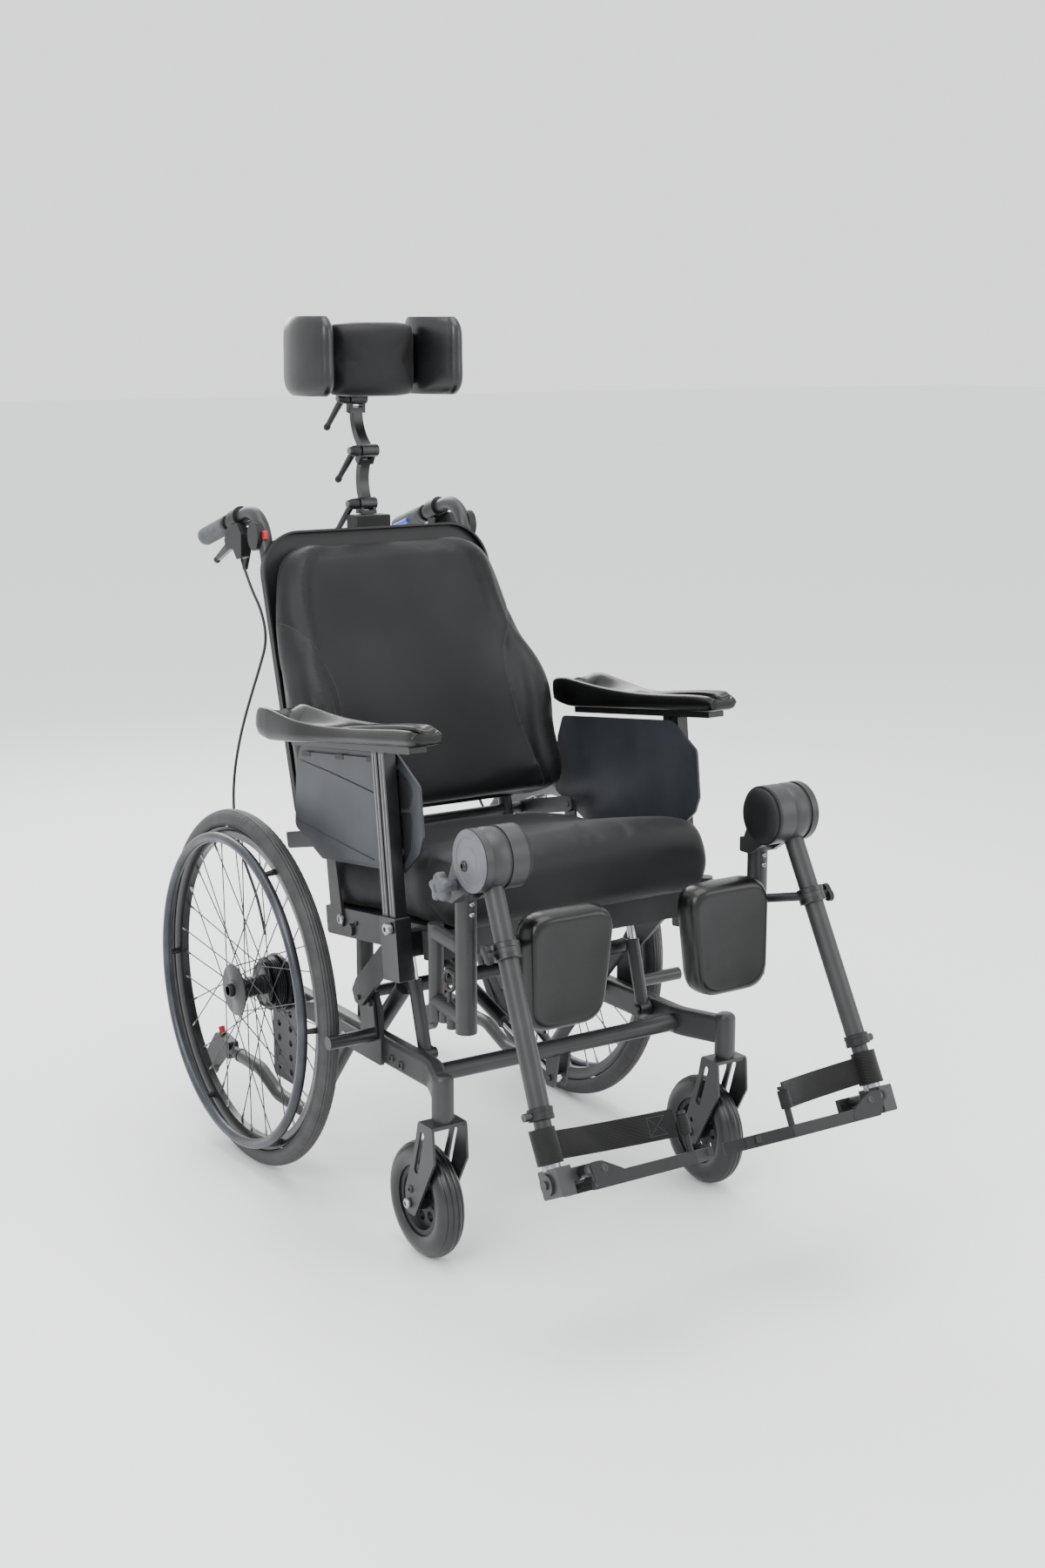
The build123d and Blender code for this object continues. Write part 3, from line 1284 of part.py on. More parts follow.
def legrest_hanger():
    """Swing-away hanger: pin and cap on the receiver, two arms, post, head discs and star knob."""
    post_top = HEAD_Z - HEAD_R - 4
    hanger = tube(at(-LEG_POST_X, LEG_POST_F, 392), at(-LEG_POST_X, LEG_POST_F, post_top), LEG_POST_R)
    rear, front = LEG_POST_F - 13, LEG_POST_F + 13
    hanger += plate(FLOOR, oblong(rear, 594, front, 618), HEAD_IN + 14, HEAD_OUT, 3)
    cheek = [(rear, 596), (front, 596), (HEAD_F, HEAD_Z - 40), (HEAD_F - 40, HEAD_Z + 12)]
    hanger += plate(FLOOR, cheek, HEAD_IN + 14, DRUM_IN - GAP, 4)
    hanger += plate(FLOOR, cheek, DRUM_OUT + GAP, HEAD_OUT, 4)
    hanger += across(FLOOR, HEAD_F, HEAD_Z, HEAD_IN, DRUM_IN - GAP, HEAD_R)
    hanger += across(FLOOR, HEAD_F, HEAD_Z, DRUM_OUT + GAP, HEAD_OUT, HEAD_R)
    hanger += across(FLOOR, HEAD_F, HEAD_Z, HEAD_IN + 4, HEAD_OUT - 2, HEAD_PIN_R)
    arm_z = RECEIVER_TOP + 14
    hanger += tube(at(-HANGER_X, HANGER_F, arm_z), at(-LEG_POST_X, LEG_POST_F, arm_z), 12)
    cap_z = RECEIVER_TOP + GAP
    hanger += Pos(at(-HANGER_X, HANGER_F, cap_z)) * Cylinder(12.5, 27, align=BASE)
    pin_low = at(-HANGER_X, HANGER_F, RECEIVER_TOP - 60)
    hanger += tube(pin_low, at(-HANGER_X, HANGER_F, cap_z + 4), HANGER_PIN_R)
    low_z = 410.0
    lower_arm = tube(at(-HANGER_X, HANGER_F, low_z), at(-LEG_POST_X, LEG_POST_F, low_z), 12)
    latch = tube(at(-HANGER_X - 2, HANGER_F + 26, 382), at(-HANGER_X - 2, HANGER_F + 26, low_z), 8)
    latch += tube(at(-HANGER_X - 8, HANGER_F + 58, 382), at(-HANGER_X - 8, HANGER_F + 58, low_z), 8)
    clear = tube(at(-HANGER_X, HANGER_F, 360), at(-HANGER_X, HANGER_F, 460), RECEIVER_R + GAP)
    hanger += lower_arm + latch - clear
    knob_f, knob_z = HEAD_F - 14, HEAD_Z - 26
    knob = across(FLOOR, knob_f, knob_z, HEAD_OUT, HEAD_OUT + 16, 9)
    knob += across(FLOOR, knob_f, knob_z, HEAD_OUT + 16, HEAD_OUT + 32, 16)
    for i in range(5):
        angle = 2 * pi * i / 5
        lobe = (knob_f + 16 * cos(angle), knob_z + 16 * sin(angle))
        knob += across(FLOOR, *lobe, HEAD_OUT + 16, HEAD_OUT + 32, 8)
    return group(hanger, knob)


def leg_tube():
    """Elevating leg: drum between the head discs, the tube and its two clamps."""
    leg = tube(on_leg(20), on_leg(LEG_END), LEG_R)
    leg += across(FLOOR, HEAD_F, HEAD_Z, DRUM_IN, DRUM_OUT, HEAD_R - 2)
    leg -= across(FLOOR, HEAD_F, HEAD_Z, DRUM_IN - 5, DRUM_OUT + 5, HEAD_PIN_R + RUN)
    leg += tube(on_leg(CALF_CLAMP_AT - CLAMP_T / 2), on_leg(CALF_CLAMP_AT + CLAMP_T / 2), LEG_R + 5)
    leg += tube(on_leg(LEG_END - 16), on_leg(LEG_END), LEG_R + 3)
    leg += tube(on_leg(LEG_END - 8), on_leg(LEG_END - 8, -28), 6)
    arm_end = at(-CALF_PIN_OUT - 3, CALF_PIN_F, CALF_PIN_Z)
    leg += tube(on_leg(CALF_CLAMP_AT, 10), arm_end, 7)
    leg += across(FLOOR, CALF_PIN_F, CALF_PIN_Z, CALF_PIN_IN, CALF_PIN_OUT, CALF_PIN_R)
    leg += across(FLOOR, CALF_PIN_F, CALF_PIN_Z, CALF_PIN_OUT - 6, CALF_PIN_OUT, 10)
    return leg - tube(on_leg(100), on_leg(LEG_END + 1), LEG_BORE_R)


def foot_tube():
    """Inner tube that sets the leg's length, with the block that carries the footplate."""
    inner = tube(on_leg(190), on_leg(FOOT_AT), LEG_BORE_R - RUN)
    block_in, block_out = 280.0, 304.0
    inner += plate(FOOT, oblong(-20, -24, 30, 16), block_in, block_out, 3)
    inner += across(FOOT, 0, -4, block_out, block_out + 4, 15)
    inner += across(FOOT, 0, -4, block_out + 4, block_out + 7, 6)
    inner += foot_block(FLIP_X, block_in, -20, 30, FLIP_B - 9, FLIP_B + 9)
    inner += tube(spot(FOOT, FLIP_X, -20, FLIP_B), spot(FOOT, FLIP_X, 30, FLIP_B), 9)
    return inner + tube(spot(FOOT, FLIP_X, -32, FLIP_B), spot(FOOT, FLIP_X, TOE_A - 1, FLIP_B), FLIP_PIN_R)


def footplate():
    """Footplate: a tray upside down with ribs beneath, two hinge lugs and the heel strap's peg."""
    outline = [
        (PLATE_INNER, HEEL_A),
        (PLATE_OUTER, HEEL_A),
        (PLATE_OUTER, TOE_A),
        (PEG_X - 4, TOE_A),
        (PLATE_INNER, TOE_A - 40),
    ]
    face = rounded(outline, 5)
    board = extrude(foot_plane(PLATE_LOW) * face, PLATE_TOP - PLATE_LOW)
    depth = PLATE_TOP - PLATE_T - PLATE_LOW + 1
    hollow = extrude(foot_plane(PLATE_LOW - 1) * offset(face, -PLATE_WALL), depth)
    board -= hollow
    for a in (-36, -22, 22):
        span = (PLATE_INNER + 10, PLATE_OUTER - 14)
        board += foot_block(*span, a - 1.5, a + 1.5, PLATE_LOW + 5, PLATE_TOP - 2)
    board -= foot_block(PLATE_OUTER - 10, PLATE_OUTER + 1, -32, 32, PLATE_LOW - 1, PLATE_TOP - PLATE_T)
    for a0, a1 in ((30 + GAP, TOE_A), (-30, -20 - GAP)):
        board += tube(spot(FOOT, FLIP_X, a0, FLIP_B), spot(FOOT, FLIP_X, a1, FLIP_B), 9)
        board += foot_block(PLATE_OUTER - 16, FLIP_X, a0, a1, PLATE_TOP - 6, FLIP_B + 9)
    ear = [
        (PLATE_OUTER - 50, PLATE_TOP - 2),
        (PLATE_OUTER - 12, FLIP_B + 9),
        (FLIP_X, FLIP_B + 9),
        (FLIP_X, PLATE_TOP - 2),
    ]
    front = Plane(origin=spot(FOOT, 0, TOE_A - PLATE_WALL, 0), x_dir=(-1, 0, 0), z_dir=-forward(FOOT))
    board += extrude(front * make_face(Polyline(*ear, close=True)), -PLATE_WALL)
    board -= tube(spot(FOOT, FLIP_X, -60, FLIP_B), spot(FOOT, FLIP_X, 60, FLIP_B), FLIP_PIN_R + RUN)
    board += tube(spot(FOOT, PEG_X, PEG_A, PLATE_TOP - 3), spot(FOOT, PEG_X, PEG_A, 50), 5)
    board += tube(spot(FOOT, PEG_X, PEG_A, 45), spot(FOOT, PEG_X, PEG_A, 50), 7)
    return board


def heel_strap():
    """Heel strap: a loop round the leg tube and a band that bows to the rear of the peg."""
    low, high = 16.0, 56.0
    axis_x = LEG_X + LEG_SPLAY * FOOT_AT
    plane = foot_plane(low)
    line = ThreePointArc((axis_x - 16, -3), (axis_x - 100, -4), (PEG_X + 8, PEG_A - 6))
    band = trace(line, 3)
    strap = extrude(plane * band, high - low)
    loop = tube(on_leg(FOOT_AT - high + 1), on_leg(FOOT_AT - low - 1), LEG_BORE_R + 4, LEG_BORE_R + 1.2)
    peg_loop = tube(spot(FOOT, PEG_X, PEG_A, low + 1), spot(FOOT, PEG_X, PEG_A, 44), 9, 6)
    strap -= tube(on_leg(FOOT_AT - high - 9), on_leg(FOOT_AT), LEG_BORE_R + 2)
    strap -= tube(spot(FOOT, PEG_X, PEG_A, 0), spot(FOOT, PEG_X, PEG_A, 60), 7.5)
    return max((strap + loop + peg_loop).solids(), key=lambda s: s.volume)


def calf_pad():
    """Calf pad: a firm wedge-shaped pad with rounded edges, its board and hinge lug."""
    back_f = CALF_PIN_F + 14
    top_z, low_z = 578.0, 402.0
    outline = [(66, top_z), (221, top_z), (221, low_z), (88, low_z)]
    plane = Plane(origin=at(0, back_f, 0), x_dir=(-1, 0, 0), z_dir=(0, -1, 0))
    face = plane * rounded([(x, -z) for x, z in outline], 14)
    cushion = extrude(face, 44)
    cushion = fillet(cushion.edges().group_by(Axis.Y)[0], 10)
    board = plate(FLOOR, oblong(back_f - 5, low_z + 16, back_f, top_z - 16), 100, 211)
    lug_out = CALF_PIN_OUT - 6 - GAP
    lug = across(FLOOR, CALF_PIN_F, CALF_PIN_Z, CALF_PIN_IN - 2, lug_out, CALF_PIN_R + 4)
    lug_outline = oblong(CALF_PIN_F, CALF_PIN_Z - 9, back_f - 4, CALF_PIN_Z + 9)
    lug += plate(FLOOR, lug_outline, CALF_PIN_IN - 2, 208)
    lug -= across(FLOOR, CALF_PIN_F, CALF_PIN_Z, CALF_PIN_IN - 5, CALF_PIN_OUT + 5, CALF_PIN_R + RUN)
    return group(board + lug, cushion)


pair("legrest_hanger", legrest_hanger())
pair("leg_tube", leg_tube())
pair("foot_tube", foot_tube())
pair("footplate", footplate())
pair("heel_strap", heel_strap())
pair("calf_pad", calf_pad())


# ------------------------------------------------------------------ brake cables
CABLE_R = 2.5
CABLE_ROUTE = (
    (-213, -203.4, 1007.0),
    (-211, -176, 962),
    (-209, -138, 925),
    (-210, -118, 876),
    (-215, -139, 826),
    (-221, -165, 772),
    (-229, -187, 713),
    (-237, -200, 652),
    (-244, -199, 596),
    (-250, -183, 546),
    (-255, -151, 503),
    (-258, -110, 466),
    (-260, -72, 426),
    (-261, -50, 376),
)


def cable_bends(points):
    """An arc at each corner, as large as the shorter of its two runs allows."""
    bends = []
    for a, b, c in zip(points, points[1:], points[2:]):
        shorter = min((b - a).length, (c - b).length)
        turn = radians((b - a).get_angle(c - b))
        bends.append(0.45 * shorter / (sin(turn / 2) / cos(turn / 2)))
    return bends


def brake_cable():
    """Cable from a brake lever's housing to the drum brake, held at both ends."""
    points = [at(*point) for point in CABLE_ROUTE]
    bends = cable_bends(points)
    print("cable bend radii", [round(b) for b in bends])
    return bent(points, CABLE_R, bends)


parts["brake_cables"] = both(brake_cable())


# ------------------------------------------------------------------ export
os.makedirs("parts", exist_ok=True)
for name, shape in parts.items():
    export_step(shape, "parts/" + name + ".step")
print(len(parts), "parts")
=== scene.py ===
# %% [markdown]
# # A tilt in space wheelchair, dressed for a studio picture
#
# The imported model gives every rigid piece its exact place. This script adds what a CAD solid
# can't show: stuffed covers, tyres with tread, spokes with nipples, webbing, cables and finishes.
# Everything is in metres, +Z up, and the chair faces -Y.

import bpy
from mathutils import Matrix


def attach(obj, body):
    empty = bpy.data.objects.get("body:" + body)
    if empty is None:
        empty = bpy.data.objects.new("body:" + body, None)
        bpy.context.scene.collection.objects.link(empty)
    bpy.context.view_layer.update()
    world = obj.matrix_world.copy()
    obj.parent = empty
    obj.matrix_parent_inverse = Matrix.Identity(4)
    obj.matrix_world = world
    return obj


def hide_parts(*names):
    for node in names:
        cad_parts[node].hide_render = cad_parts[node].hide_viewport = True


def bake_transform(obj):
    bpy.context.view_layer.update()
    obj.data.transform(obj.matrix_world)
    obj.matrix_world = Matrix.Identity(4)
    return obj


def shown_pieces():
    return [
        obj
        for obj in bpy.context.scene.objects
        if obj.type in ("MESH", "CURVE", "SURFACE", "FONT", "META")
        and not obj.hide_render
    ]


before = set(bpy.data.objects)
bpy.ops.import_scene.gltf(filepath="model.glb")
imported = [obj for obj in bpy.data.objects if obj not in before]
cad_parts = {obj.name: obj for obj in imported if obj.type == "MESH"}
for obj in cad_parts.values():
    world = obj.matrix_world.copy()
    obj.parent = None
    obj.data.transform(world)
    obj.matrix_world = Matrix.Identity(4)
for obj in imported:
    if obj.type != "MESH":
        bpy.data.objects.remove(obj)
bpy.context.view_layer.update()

# %% [markdown]
# ## Measuring like the drawings
#
# The drawings measure forward of the rear axle ("f") and above the floor ("z"), in millimetres.
# The seat, the back and the foot each have a side view of their own that leans as they do, so
# three small functions turn such numbers into points.

# %% Points and side views
import math

import bmesh
import bpy
from mathutils import Vector
from mathutils.bvhtree import BVHTree

AXLE_Y = 282.4155
SEAT = (217.0, 445.0, 7.0)
BACK = (150.0, 585.0, 15.6)
LEG_ANGLE = 63.6
LEG_SPLAY = 0.045
HEAD = (689.0, 667.0)
FOOT_AT = 455.0
FOOT = (
    HEAD[0] + math.cos(math.radians(LEG_ANGLE)) * FOOT_AT,
    HEAD[1] - math.sin(math.radians(LEG_ANGLE)) * FOOT_AT,
    90 - LEG_ANGLE,
)
FLOOR = (0.0, 0.0, 0.0)
SIDES = (("right", -1), ("left", 1))


def place(x, f, z):
    """A point in metres from millimetres across, forward of the axle and above the floor."""
    return Vector((x, AXLE_Y - f, z)) / 1000


def spot(view, x, a, b):
    """A point given by x across and by (a, b) in a leaning side view."""
    c, s = math.cos(math.radians(view[2])), math.sin(math.radians(view[2]))
    return place(x, view[0] + a * c - b * s, view[1] + a * s + b * c)


def forward(view):
    """The forward direction of a side view."""
    return Vector((0, -math.cos(math.radians(view[2])), math.sin(math.radians(view[2]))))


def upward(view):
    """The upward direction of a side view."""
    return Vector((0, math.sin(math.radians(view[2])), math.cos(math.radians(view[2]))))


print("foot view at", [round(v, 1) for v in FOOT])

# %% [markdown]
# ## The camera
#
# The photograph was taken from the user's right, a little above the armrests. A normal lens at
# about 3.5 metres gives the same slight convergence.

# %% Camera
camera_data = bpy.data.cameras.new("camera")
camera_data.lens = 48.85
camera_data.sensor_width = 36.0
camera = bpy.data.objects.new("camera", camera_data)
camera.location = (-1.8188, -2.8724, 1.3928)
camera.rotation_euler = (math.radians(78.0070), 0.0, math.radians(-33.0784))
bpy.context.scene.collection.objects.link(camera)
bpy.context.scene.camera = camera
print("camera is", round(camera.location.length, 2), "m from the origin")

# %% [markdown]
# ## One function for colours, one for nodes
#
# Colours are written as a designer reads them off a screen, in sRGB hex, and turned to the
# linear numbers that shaders need. Every material below is made of nodes that one function adds.

# %% Colour and node helpers
def linear(text):
    """An sRGB hex colour as the linear RGBA of a shader socket."""
    values = []
    for i in (0, 2, 4):
        c = int(text[i : i + 2], 16) / 255
        values.append(c / 12.92 if c <= 0.04045 else ((c + 0.055) / 1.055) ** 2.4)
    return (*values, 1.0)


def add(tree, kind, settings=None, values=None, links=None):
    """Adds a node, sets its properties and sockets, and links inputs to other nodes' outputs."""
    made = tree.nodes.new("ShaderNode" + kind)
    for key, value in (settings or {}).items():
        setattr(made, key, value)
    for key, value in (values or {}).items():
        made.inputs[key].default_value = value
    for key, (source, output) in (links or {}).items():
        tree.links.new(source.outputs[output], made.inputs[key])
    return made


def per_metre(size_mm):
    """A texture scale whose features are about this many millimetres apart."""
    return 1000.0 / size_mm


print("mid grey is", [round(v, 3) for v in linear("808080")[:3]])

# %% [markdown]
# ## A surface with two grains
#
# Real surfaces vary at two sizes at least: a slow drift of tone over some centimetres, and a
# fine grain that breaks up reflections. One builder takes both sizes in millimetres. The third
# input is the edge radius: a press brake or a moulding tool never leaves a knife edge, and the
# Bevel node bends the normal there so that edges catch the light.

# %% Surface builder
def surface(
    name,
    dark,
    light,
    drift_mm,
    grain_mm,
    bump_mm,
    rough,
    rough_swing=0.06,
    edge_mm=0.5,
    metallic=0.0,
    **sockets,
):
    """A principled material with drifting tone, grained roughness and a fine bump."""
    material = bpy.data.materials.new(name)
    material.use_nodes = True
    tree = material.node_tree
    tree.nodes.clear()
    where = add(tree, "TexCoord")
    on_piece = {"Vector": (where, "Object")}
    drift = add(
        tree, "TexNoise", values={"Scale": per_metre(drift_mm), "Detail": 3.0}, links=on_piece
    )
    grain = add(
        tree, "TexNoise", values={"Scale": per_metre(grain_mm), "Detail": 2.0}, links=on_piece
    )
    tone = add(tree, "ValToRGB", links={"Fac": (drift, "Fac")})
    tone.color_ramp.elements[0].position = 0.36
    tone.color_ramp.elements[0].color = linear(dark)
    tone.color_ramp.elements[1].position = 0.64
    tone.color_ramp.elements[1].color = linear(light)
    polish = add(
        tree,
        "MapRange",
        values={"To Min": max(rough - rough_swing, 0.02), "To Max": min(rough + rough_swing, 1.0)},
        links={"Value": (grain, "Fac")},
    )
    softened = add(tree, "Bevel", {"samples": 4}, {"Radius": edge_mm / 1000})
    relief = add(
        tree,
        "Bump",
        values={"Strength": 0.6, "Distance": bump_mm / 1000},
        links={"Height": (grain, "Fac"), "Normal": (softened, "Normal")},
    )
    body = add(
        tree,
        "BsdfPrincipled",
        values={"Metallic": metallic, **sockets},
        links={
            "Base Color": (tone, "Color"),
            "Roughness": (polish, "Result"),
            "Normal": (relief, "Normal"),
        },
    )
    add(tree, "OutputMaterial", links={"Surface": (body, "BSDF")})
    return material


print("a 60 mm drift is a noise of scale", round(per_metre(60), 1))


# %% [markdown]
# ## Metals
#
# The tubes are aluminium with an anthracite polyester powder coat: baked powder flows out to a
# faint orange peel about a millimetre across, half matt. Fittings are steel with a black
# electro-dipped coat, smoother and darker. Gas spring rods are hard chromed, screws zinc plated.

# %% Metal finishes
powder_coat = surface("anthracite_powder_coat", "1c1d1f", "242528", 60, 1.1, 0.05, 0.42)
disc_grey = surface("grey_powder_coat", "4c4e52", "5a5c60", 40, 1.1, 0.05, 0.42)
black_dip = surface("black_dip_coat", "0e0e10", "151618", 45, 1.6, 0.03, 0.32)
hard_chrome = surface("hard_chrome", "b9babd", "cfd0d2", 40, 2.5, 0.004, 0.12, 0.03, metallic=1.0)
zinc = surface("zinc_plate", "8e9093", "b4b6b8", 9, 1.2, 0.02, 0.34, 0.10, 0.3, 1.0)
# Light grey metal used only for the post strips: it paints the highlights along the armrest posts'
# grooves.
post_highlight_grey = surface("post_highlight_paint", "8b8d90", "a3a5a8", 20, 0.9, 0.05, 0.40, 0.08, 0.5, 1.0)
rim_black = surface("black_anodised_rim", "0e0f10", "191a1c", 60, 1.4, 0.02, 0.30)
spoke_steel = surface("stainless_spoke", "3c3e41", "56585b", 15, 1.0, 0.004, 0.32, 0.05, 0.2, 1.0)
handrim_grey = surface(
    "dark_anodised_handrim", "33353a", "42454a", 50, 1.2, 0.02, 0.33, 0.05, 0.4, 0.55
)
inner_tube = surface(
    "natural_anodised_tube", "8e9196", "a4a7ab", 40, 0.9, 0.01, 0.30, 0.05, 0.4, 1.0
)
print("materials after the metals:", len(bpy.data.materials))

# %% [markdown]
# ## Plastics and rubbers
#
# Moulded ABS has a spark-eroded grain of about half a millimetre. Armrests and calf pads are
# self-skinning polyurethane foam: deep black and glossy, with slow waves where the skin shrank.
# Tyres are grey-black and dusty, grips a lighter thermoplastic.

# %% Plastic and rubber finishes
MATT = {"Specular IOR Level": 0.35}
FOAM = {"Specular IOR Level": 0.34, "Coat Weight": 0.08, "Coat Roughness": 0.12}
moulded_black = surface("grained_abs_black", "0c0d0e", "131416", 50, 0.6, 0.09, 0.46, **MATT)
panel_grey = surface("grained_abs_anthracite", "212429", "2a2d33", 70, 0.6, 0.08, 0.42)
foam_skin = surface("self_skinned_foam", "030303", "070707", 80, 9.0, 0.10, 0.30, 0.06, 1.2, **FOAM)
tyre_rubber = surface("tyre_rubber", "252628", "303133", 30, 0.8, 0.10, 0.58, 0.08)
caster_rubber = surface("caster_rubber", "0e0f10", "161718", 30, 0.8, 0.06, 0.34, 0.08)
grip_rubber = surface("moulded_grip", "3c3e41", "4c4e52", 15, 0.8, 0.10, 0.48)
cable_jacket = surface("pvc_cable_jacket", "0d0e0f", "151617", 20, 0.9, 0.03, 0.40)
signal_red = surface("red_nylon", "8f1018", "a8171f", 10, 0.8, 0.05, 0.42)
signal_blue = surface("blue_nylon", "1d4fb4", "2a63cf", 10, 0.8, 0.05, 0.38)
print("materials after the plastics:", len(bpy.data.materials))

# %% [markdown]
# ## Cover fabric and webbing
#
# The cushion covers are a stretch knit with a polyurethane coating: smooth, almost black, with a
# faint blue cast and a soft sheen at grazing angles. Its knit of about half a millimetre would
# vanish in the picture, so it is drawn at 0.9 mm. Nylon webbing has a rib every 1.6 mm, which is
# drawn about four times as coarse to show at all.

# %% Woven finishes
cover_fabric = surface(
    "coated_stretch_knit", "0d0e11", "131518", 120, 0.9, 0.05, 0.50, 0.05, 0.8,
    **{"Sheen Weight": 0.06, "Sheen Roughness": 0.4, "Specular IOR Level": 0.24},
)
thread = surface("polyester_thread", "1b1d21", "292c31", 6, 0.5, 0.05, 0.55)


RIB_COARSENESS = 6.3
WEB = {"Specular IOR Level": 0.25, "Sheen Weight": 0.10}


def ribbed_web(name, dark, light, rib_mm):
    """Nylon webbing: a wave texture gives the ribs and a noise the worn, uneven yarn."""
    material = surface(name, dark, light, 25, 0.7, 0.08, 0.66, **WEB)
    tree = material.node_tree
    body = next(n for n in tree.nodes if n.type == "BSDF_PRINCIPLED")
    where = next(n for n in tree.nodes if n.type == "TEX_COORD")
    relief = next(n for n in tree.nodes if n.type == "BUMP")
    ribs = add(
        tree,
        "TexWave",
        {"bands_direction": "DIAGONAL"},
        {"Scale": per_metre(rib_mm) / RIB_COARSENESS, "Distortion": 0.6, "Detail": 1.0},
        {"Vector": (where, "Object")},
    )
    woven = add(
        tree,
        "Bump",
        values={"Strength": 0.7, "Distance": 0.0003},
        links={"Height": (ribs, "Fac"), "Normal": (relief, "Normal")},
    )
    tree.links.new(woven.outputs["Normal"], body.inputs["Normal"])
    return material


webbing = ribbed_web("nylon_webbing", "070708", "0e0e0f", 1.6)
print(len(bpy.data.materials), "materials so far")

# %% [markdown]
# ## Finishes for the rigid nodes
#
# A rigid node whose shape is right keeps its solid and gets its material here.

# %% Dress the rigid nodes
FINISHES = {
    "side_frame": powder_coat,
    "base_cross_tubes": powder_coat,
    "seat_frame": powder_coat,
    "back_canes": powder_coat,
    "leg_tube": powder_coat,
    "caster_fork": powder_coat,
    "armrest_frame": black_dip,
    "axle_mounts": black_dip,
    "wheel_lock_lever": powder_coat,
    "wheel_lock_arm": black_dip,
    "tilt_strut_tubes": powder_coat,
    "tilt_spring_cylinder": black_dip,
    "recline_spring_cylinder": black_dip,
    "headrest_post": black_dip,
    "headrest_lower_link": black_dip,
    "headrest_upper_link": black_dip,
    "brake_lever": black_dip,
    "footplate": moulded_black,
    "seat_pan": black_dip,
    "tilt_strut_rods": hard_chrome,
    "tilt_spring_rod": hard_chrome,
    "recline_spring_rod": hard_chrome,
    "side_panel": panel_grey,
    "lever_housings": moulded_black,
    "tilt_trigger": signal_blue,
    "recline_trigger": moulded_black,
    "foot_tube": powder_coat,
}


def dress(obj, material):
    """Puts one material on an object."""
    obj.data.materials.clear()
    obj.data.materials.append(material)


dressed = 0
for node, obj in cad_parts.items():
    kind = node.removesuffix("_right").removesuffix("_left")
    if kind in FINISHES:
        dress(obj, FINISHES[kind])
        dressed += 1
print(dressed, "nodes dressed")

# %% [markdown]
# ## Turning a mesh into a piece
#
# A piece needs a name, a material and the body that it rides on. Faces that meet
# at a shallow angle are shaded smooth, and sharper edges stay crisp. Modifiers could make many of
# these forms, but rings of vertices give the same mesh on every run and say where each edge lies:
# a lathe turns an outline, a skin joins any rings, and a rod is a skin over two of them.

# %% Piece maker
def piece(name, mesh, body, material, crease=38.0):
    """Makes an object from a bmesh and rides it on a body. body=None leaves that to the caller."""
    bmesh.ops.recalc_face_normals(mesh, faces=mesh.faces)
    data = bpy.data.meshes.new(name)
    mesh.to_mesh(data)
    mesh.free()
    obj = bpy.data.objects.new(name, data)
    bpy.context.scene.collection.objects.link(obj)
    data.polygons.foreach_set("use_smooth", [True] * len(data.polygons))
    data.set_sharp_from_angle(angle=math.radians(crease))
    dress(obj, material)
    if body:
        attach(obj, body)
    return obj


def lathe(mesh, profile, f, z, steps=96, wobble=None):
    """Turns a closed outline of (x across, radius) points about a line across the chair."""
    rings = []
    for i in range(steps):
        angle = 2 * math.pi * i / steps
        ring = []
        for k, (x, r) in enumerate(profile):
            out = r + (wobble(i, k) if wobble else 0.0)
            ahead, up = f + out * math.cos(angle), z + out * math.sin(angle)
            ring.append(mesh.verts.new(place(x, ahead, up)))
        rings.append(ring)
    for i in range(steps):
        a, b = rings[i], rings[(i + 1) % steps]
        for k in range(len(profile)):
            n = (k + 1) % len(profile)
            mesh.faces.new((a[k], a[n], b[n], b[k]))
    return mesh


def skin(mesh, rings, closed=False):
    """Joins rings of vertices into a wall and caps its ends, unless it closes on itself."""
    count = len(rings[0])
    for one, two in zip(rings, rings[1:] + (rings[:1] if closed else [])):
        for k in range(count):
            n = (k + 1) % count
            mesh.faces.new((one[k], one[n], two[n], two[k]))
    if not closed:
        mesh.faces.new(rings[0][::-1])
        mesh.faces.new(rings[-1])
    return mesh


def rod(mesh, start, end, radius_mm, sides=8, end_radius_mm=None):
    """A straight bar between two points, which may taper."""
    axis = (end - start).normalized()
    across = axis.orthogonal().normalized()
    other = axis.cross(across)
    rings = []
    for point, r in ((start, radius_mm), (end, end_radius_mm or radius_mm)):
        ring = []
        for i in range(sides):
            t = 2 * math.pi * i / sides
            ray = across * math.cos(t) + other * math.sin(t)
            ring.append(mesh.verts.new(point + ray * r / 1000))
        rings.append(ring)
    return skin(mesh, rings)


print("piece, lathe, skin and rod are ready")

# %% [markdown]
# Grips, bolts, knobs and sleeves are round too, but they lie in every direction. A second turning
# function takes any line, and a ripple along the turn makes lobes. Beads and cables are a round
# section carried along a path, and lids are a flat outline with a little thickness.

# %% More makers
def turn_on(mesh, start, direction, outline, steps=32, ripple=None):
    """Turns (distance, radius) pairs in millimetres about a line, and caps both ends."""
    axis = direction.normalized()
    across = axis.orthogonal().normalized()
    other = axis.cross(across)
    rings = []
    for i in range(steps):
        angle = 2 * math.pi * i / steps
        ray = across * math.cos(angle) + other * math.sin(angle)
        ring = []
        for along_mm, radius_mm in outline:
            extra = ripple(angle, radius_mm) if ripple else 0.0
            offset = axis * along_mm + ray * (radius_mm + extra)
            ring.append(mesh.verts.new(start + offset / 1000))
        rings.append(ring)
    for one, two in zip(rings, rings[1:] + rings[:1]):
        for k in range(len(outline) - 1):
            mesh.faces.new((one[k], one[k + 1], two[k + 1], two[k]))
    mesh.faces.new([ring[0] for ring in rings][::-1])
    mesh.faces.new([ring[-1] for ring in rings])
    return mesh


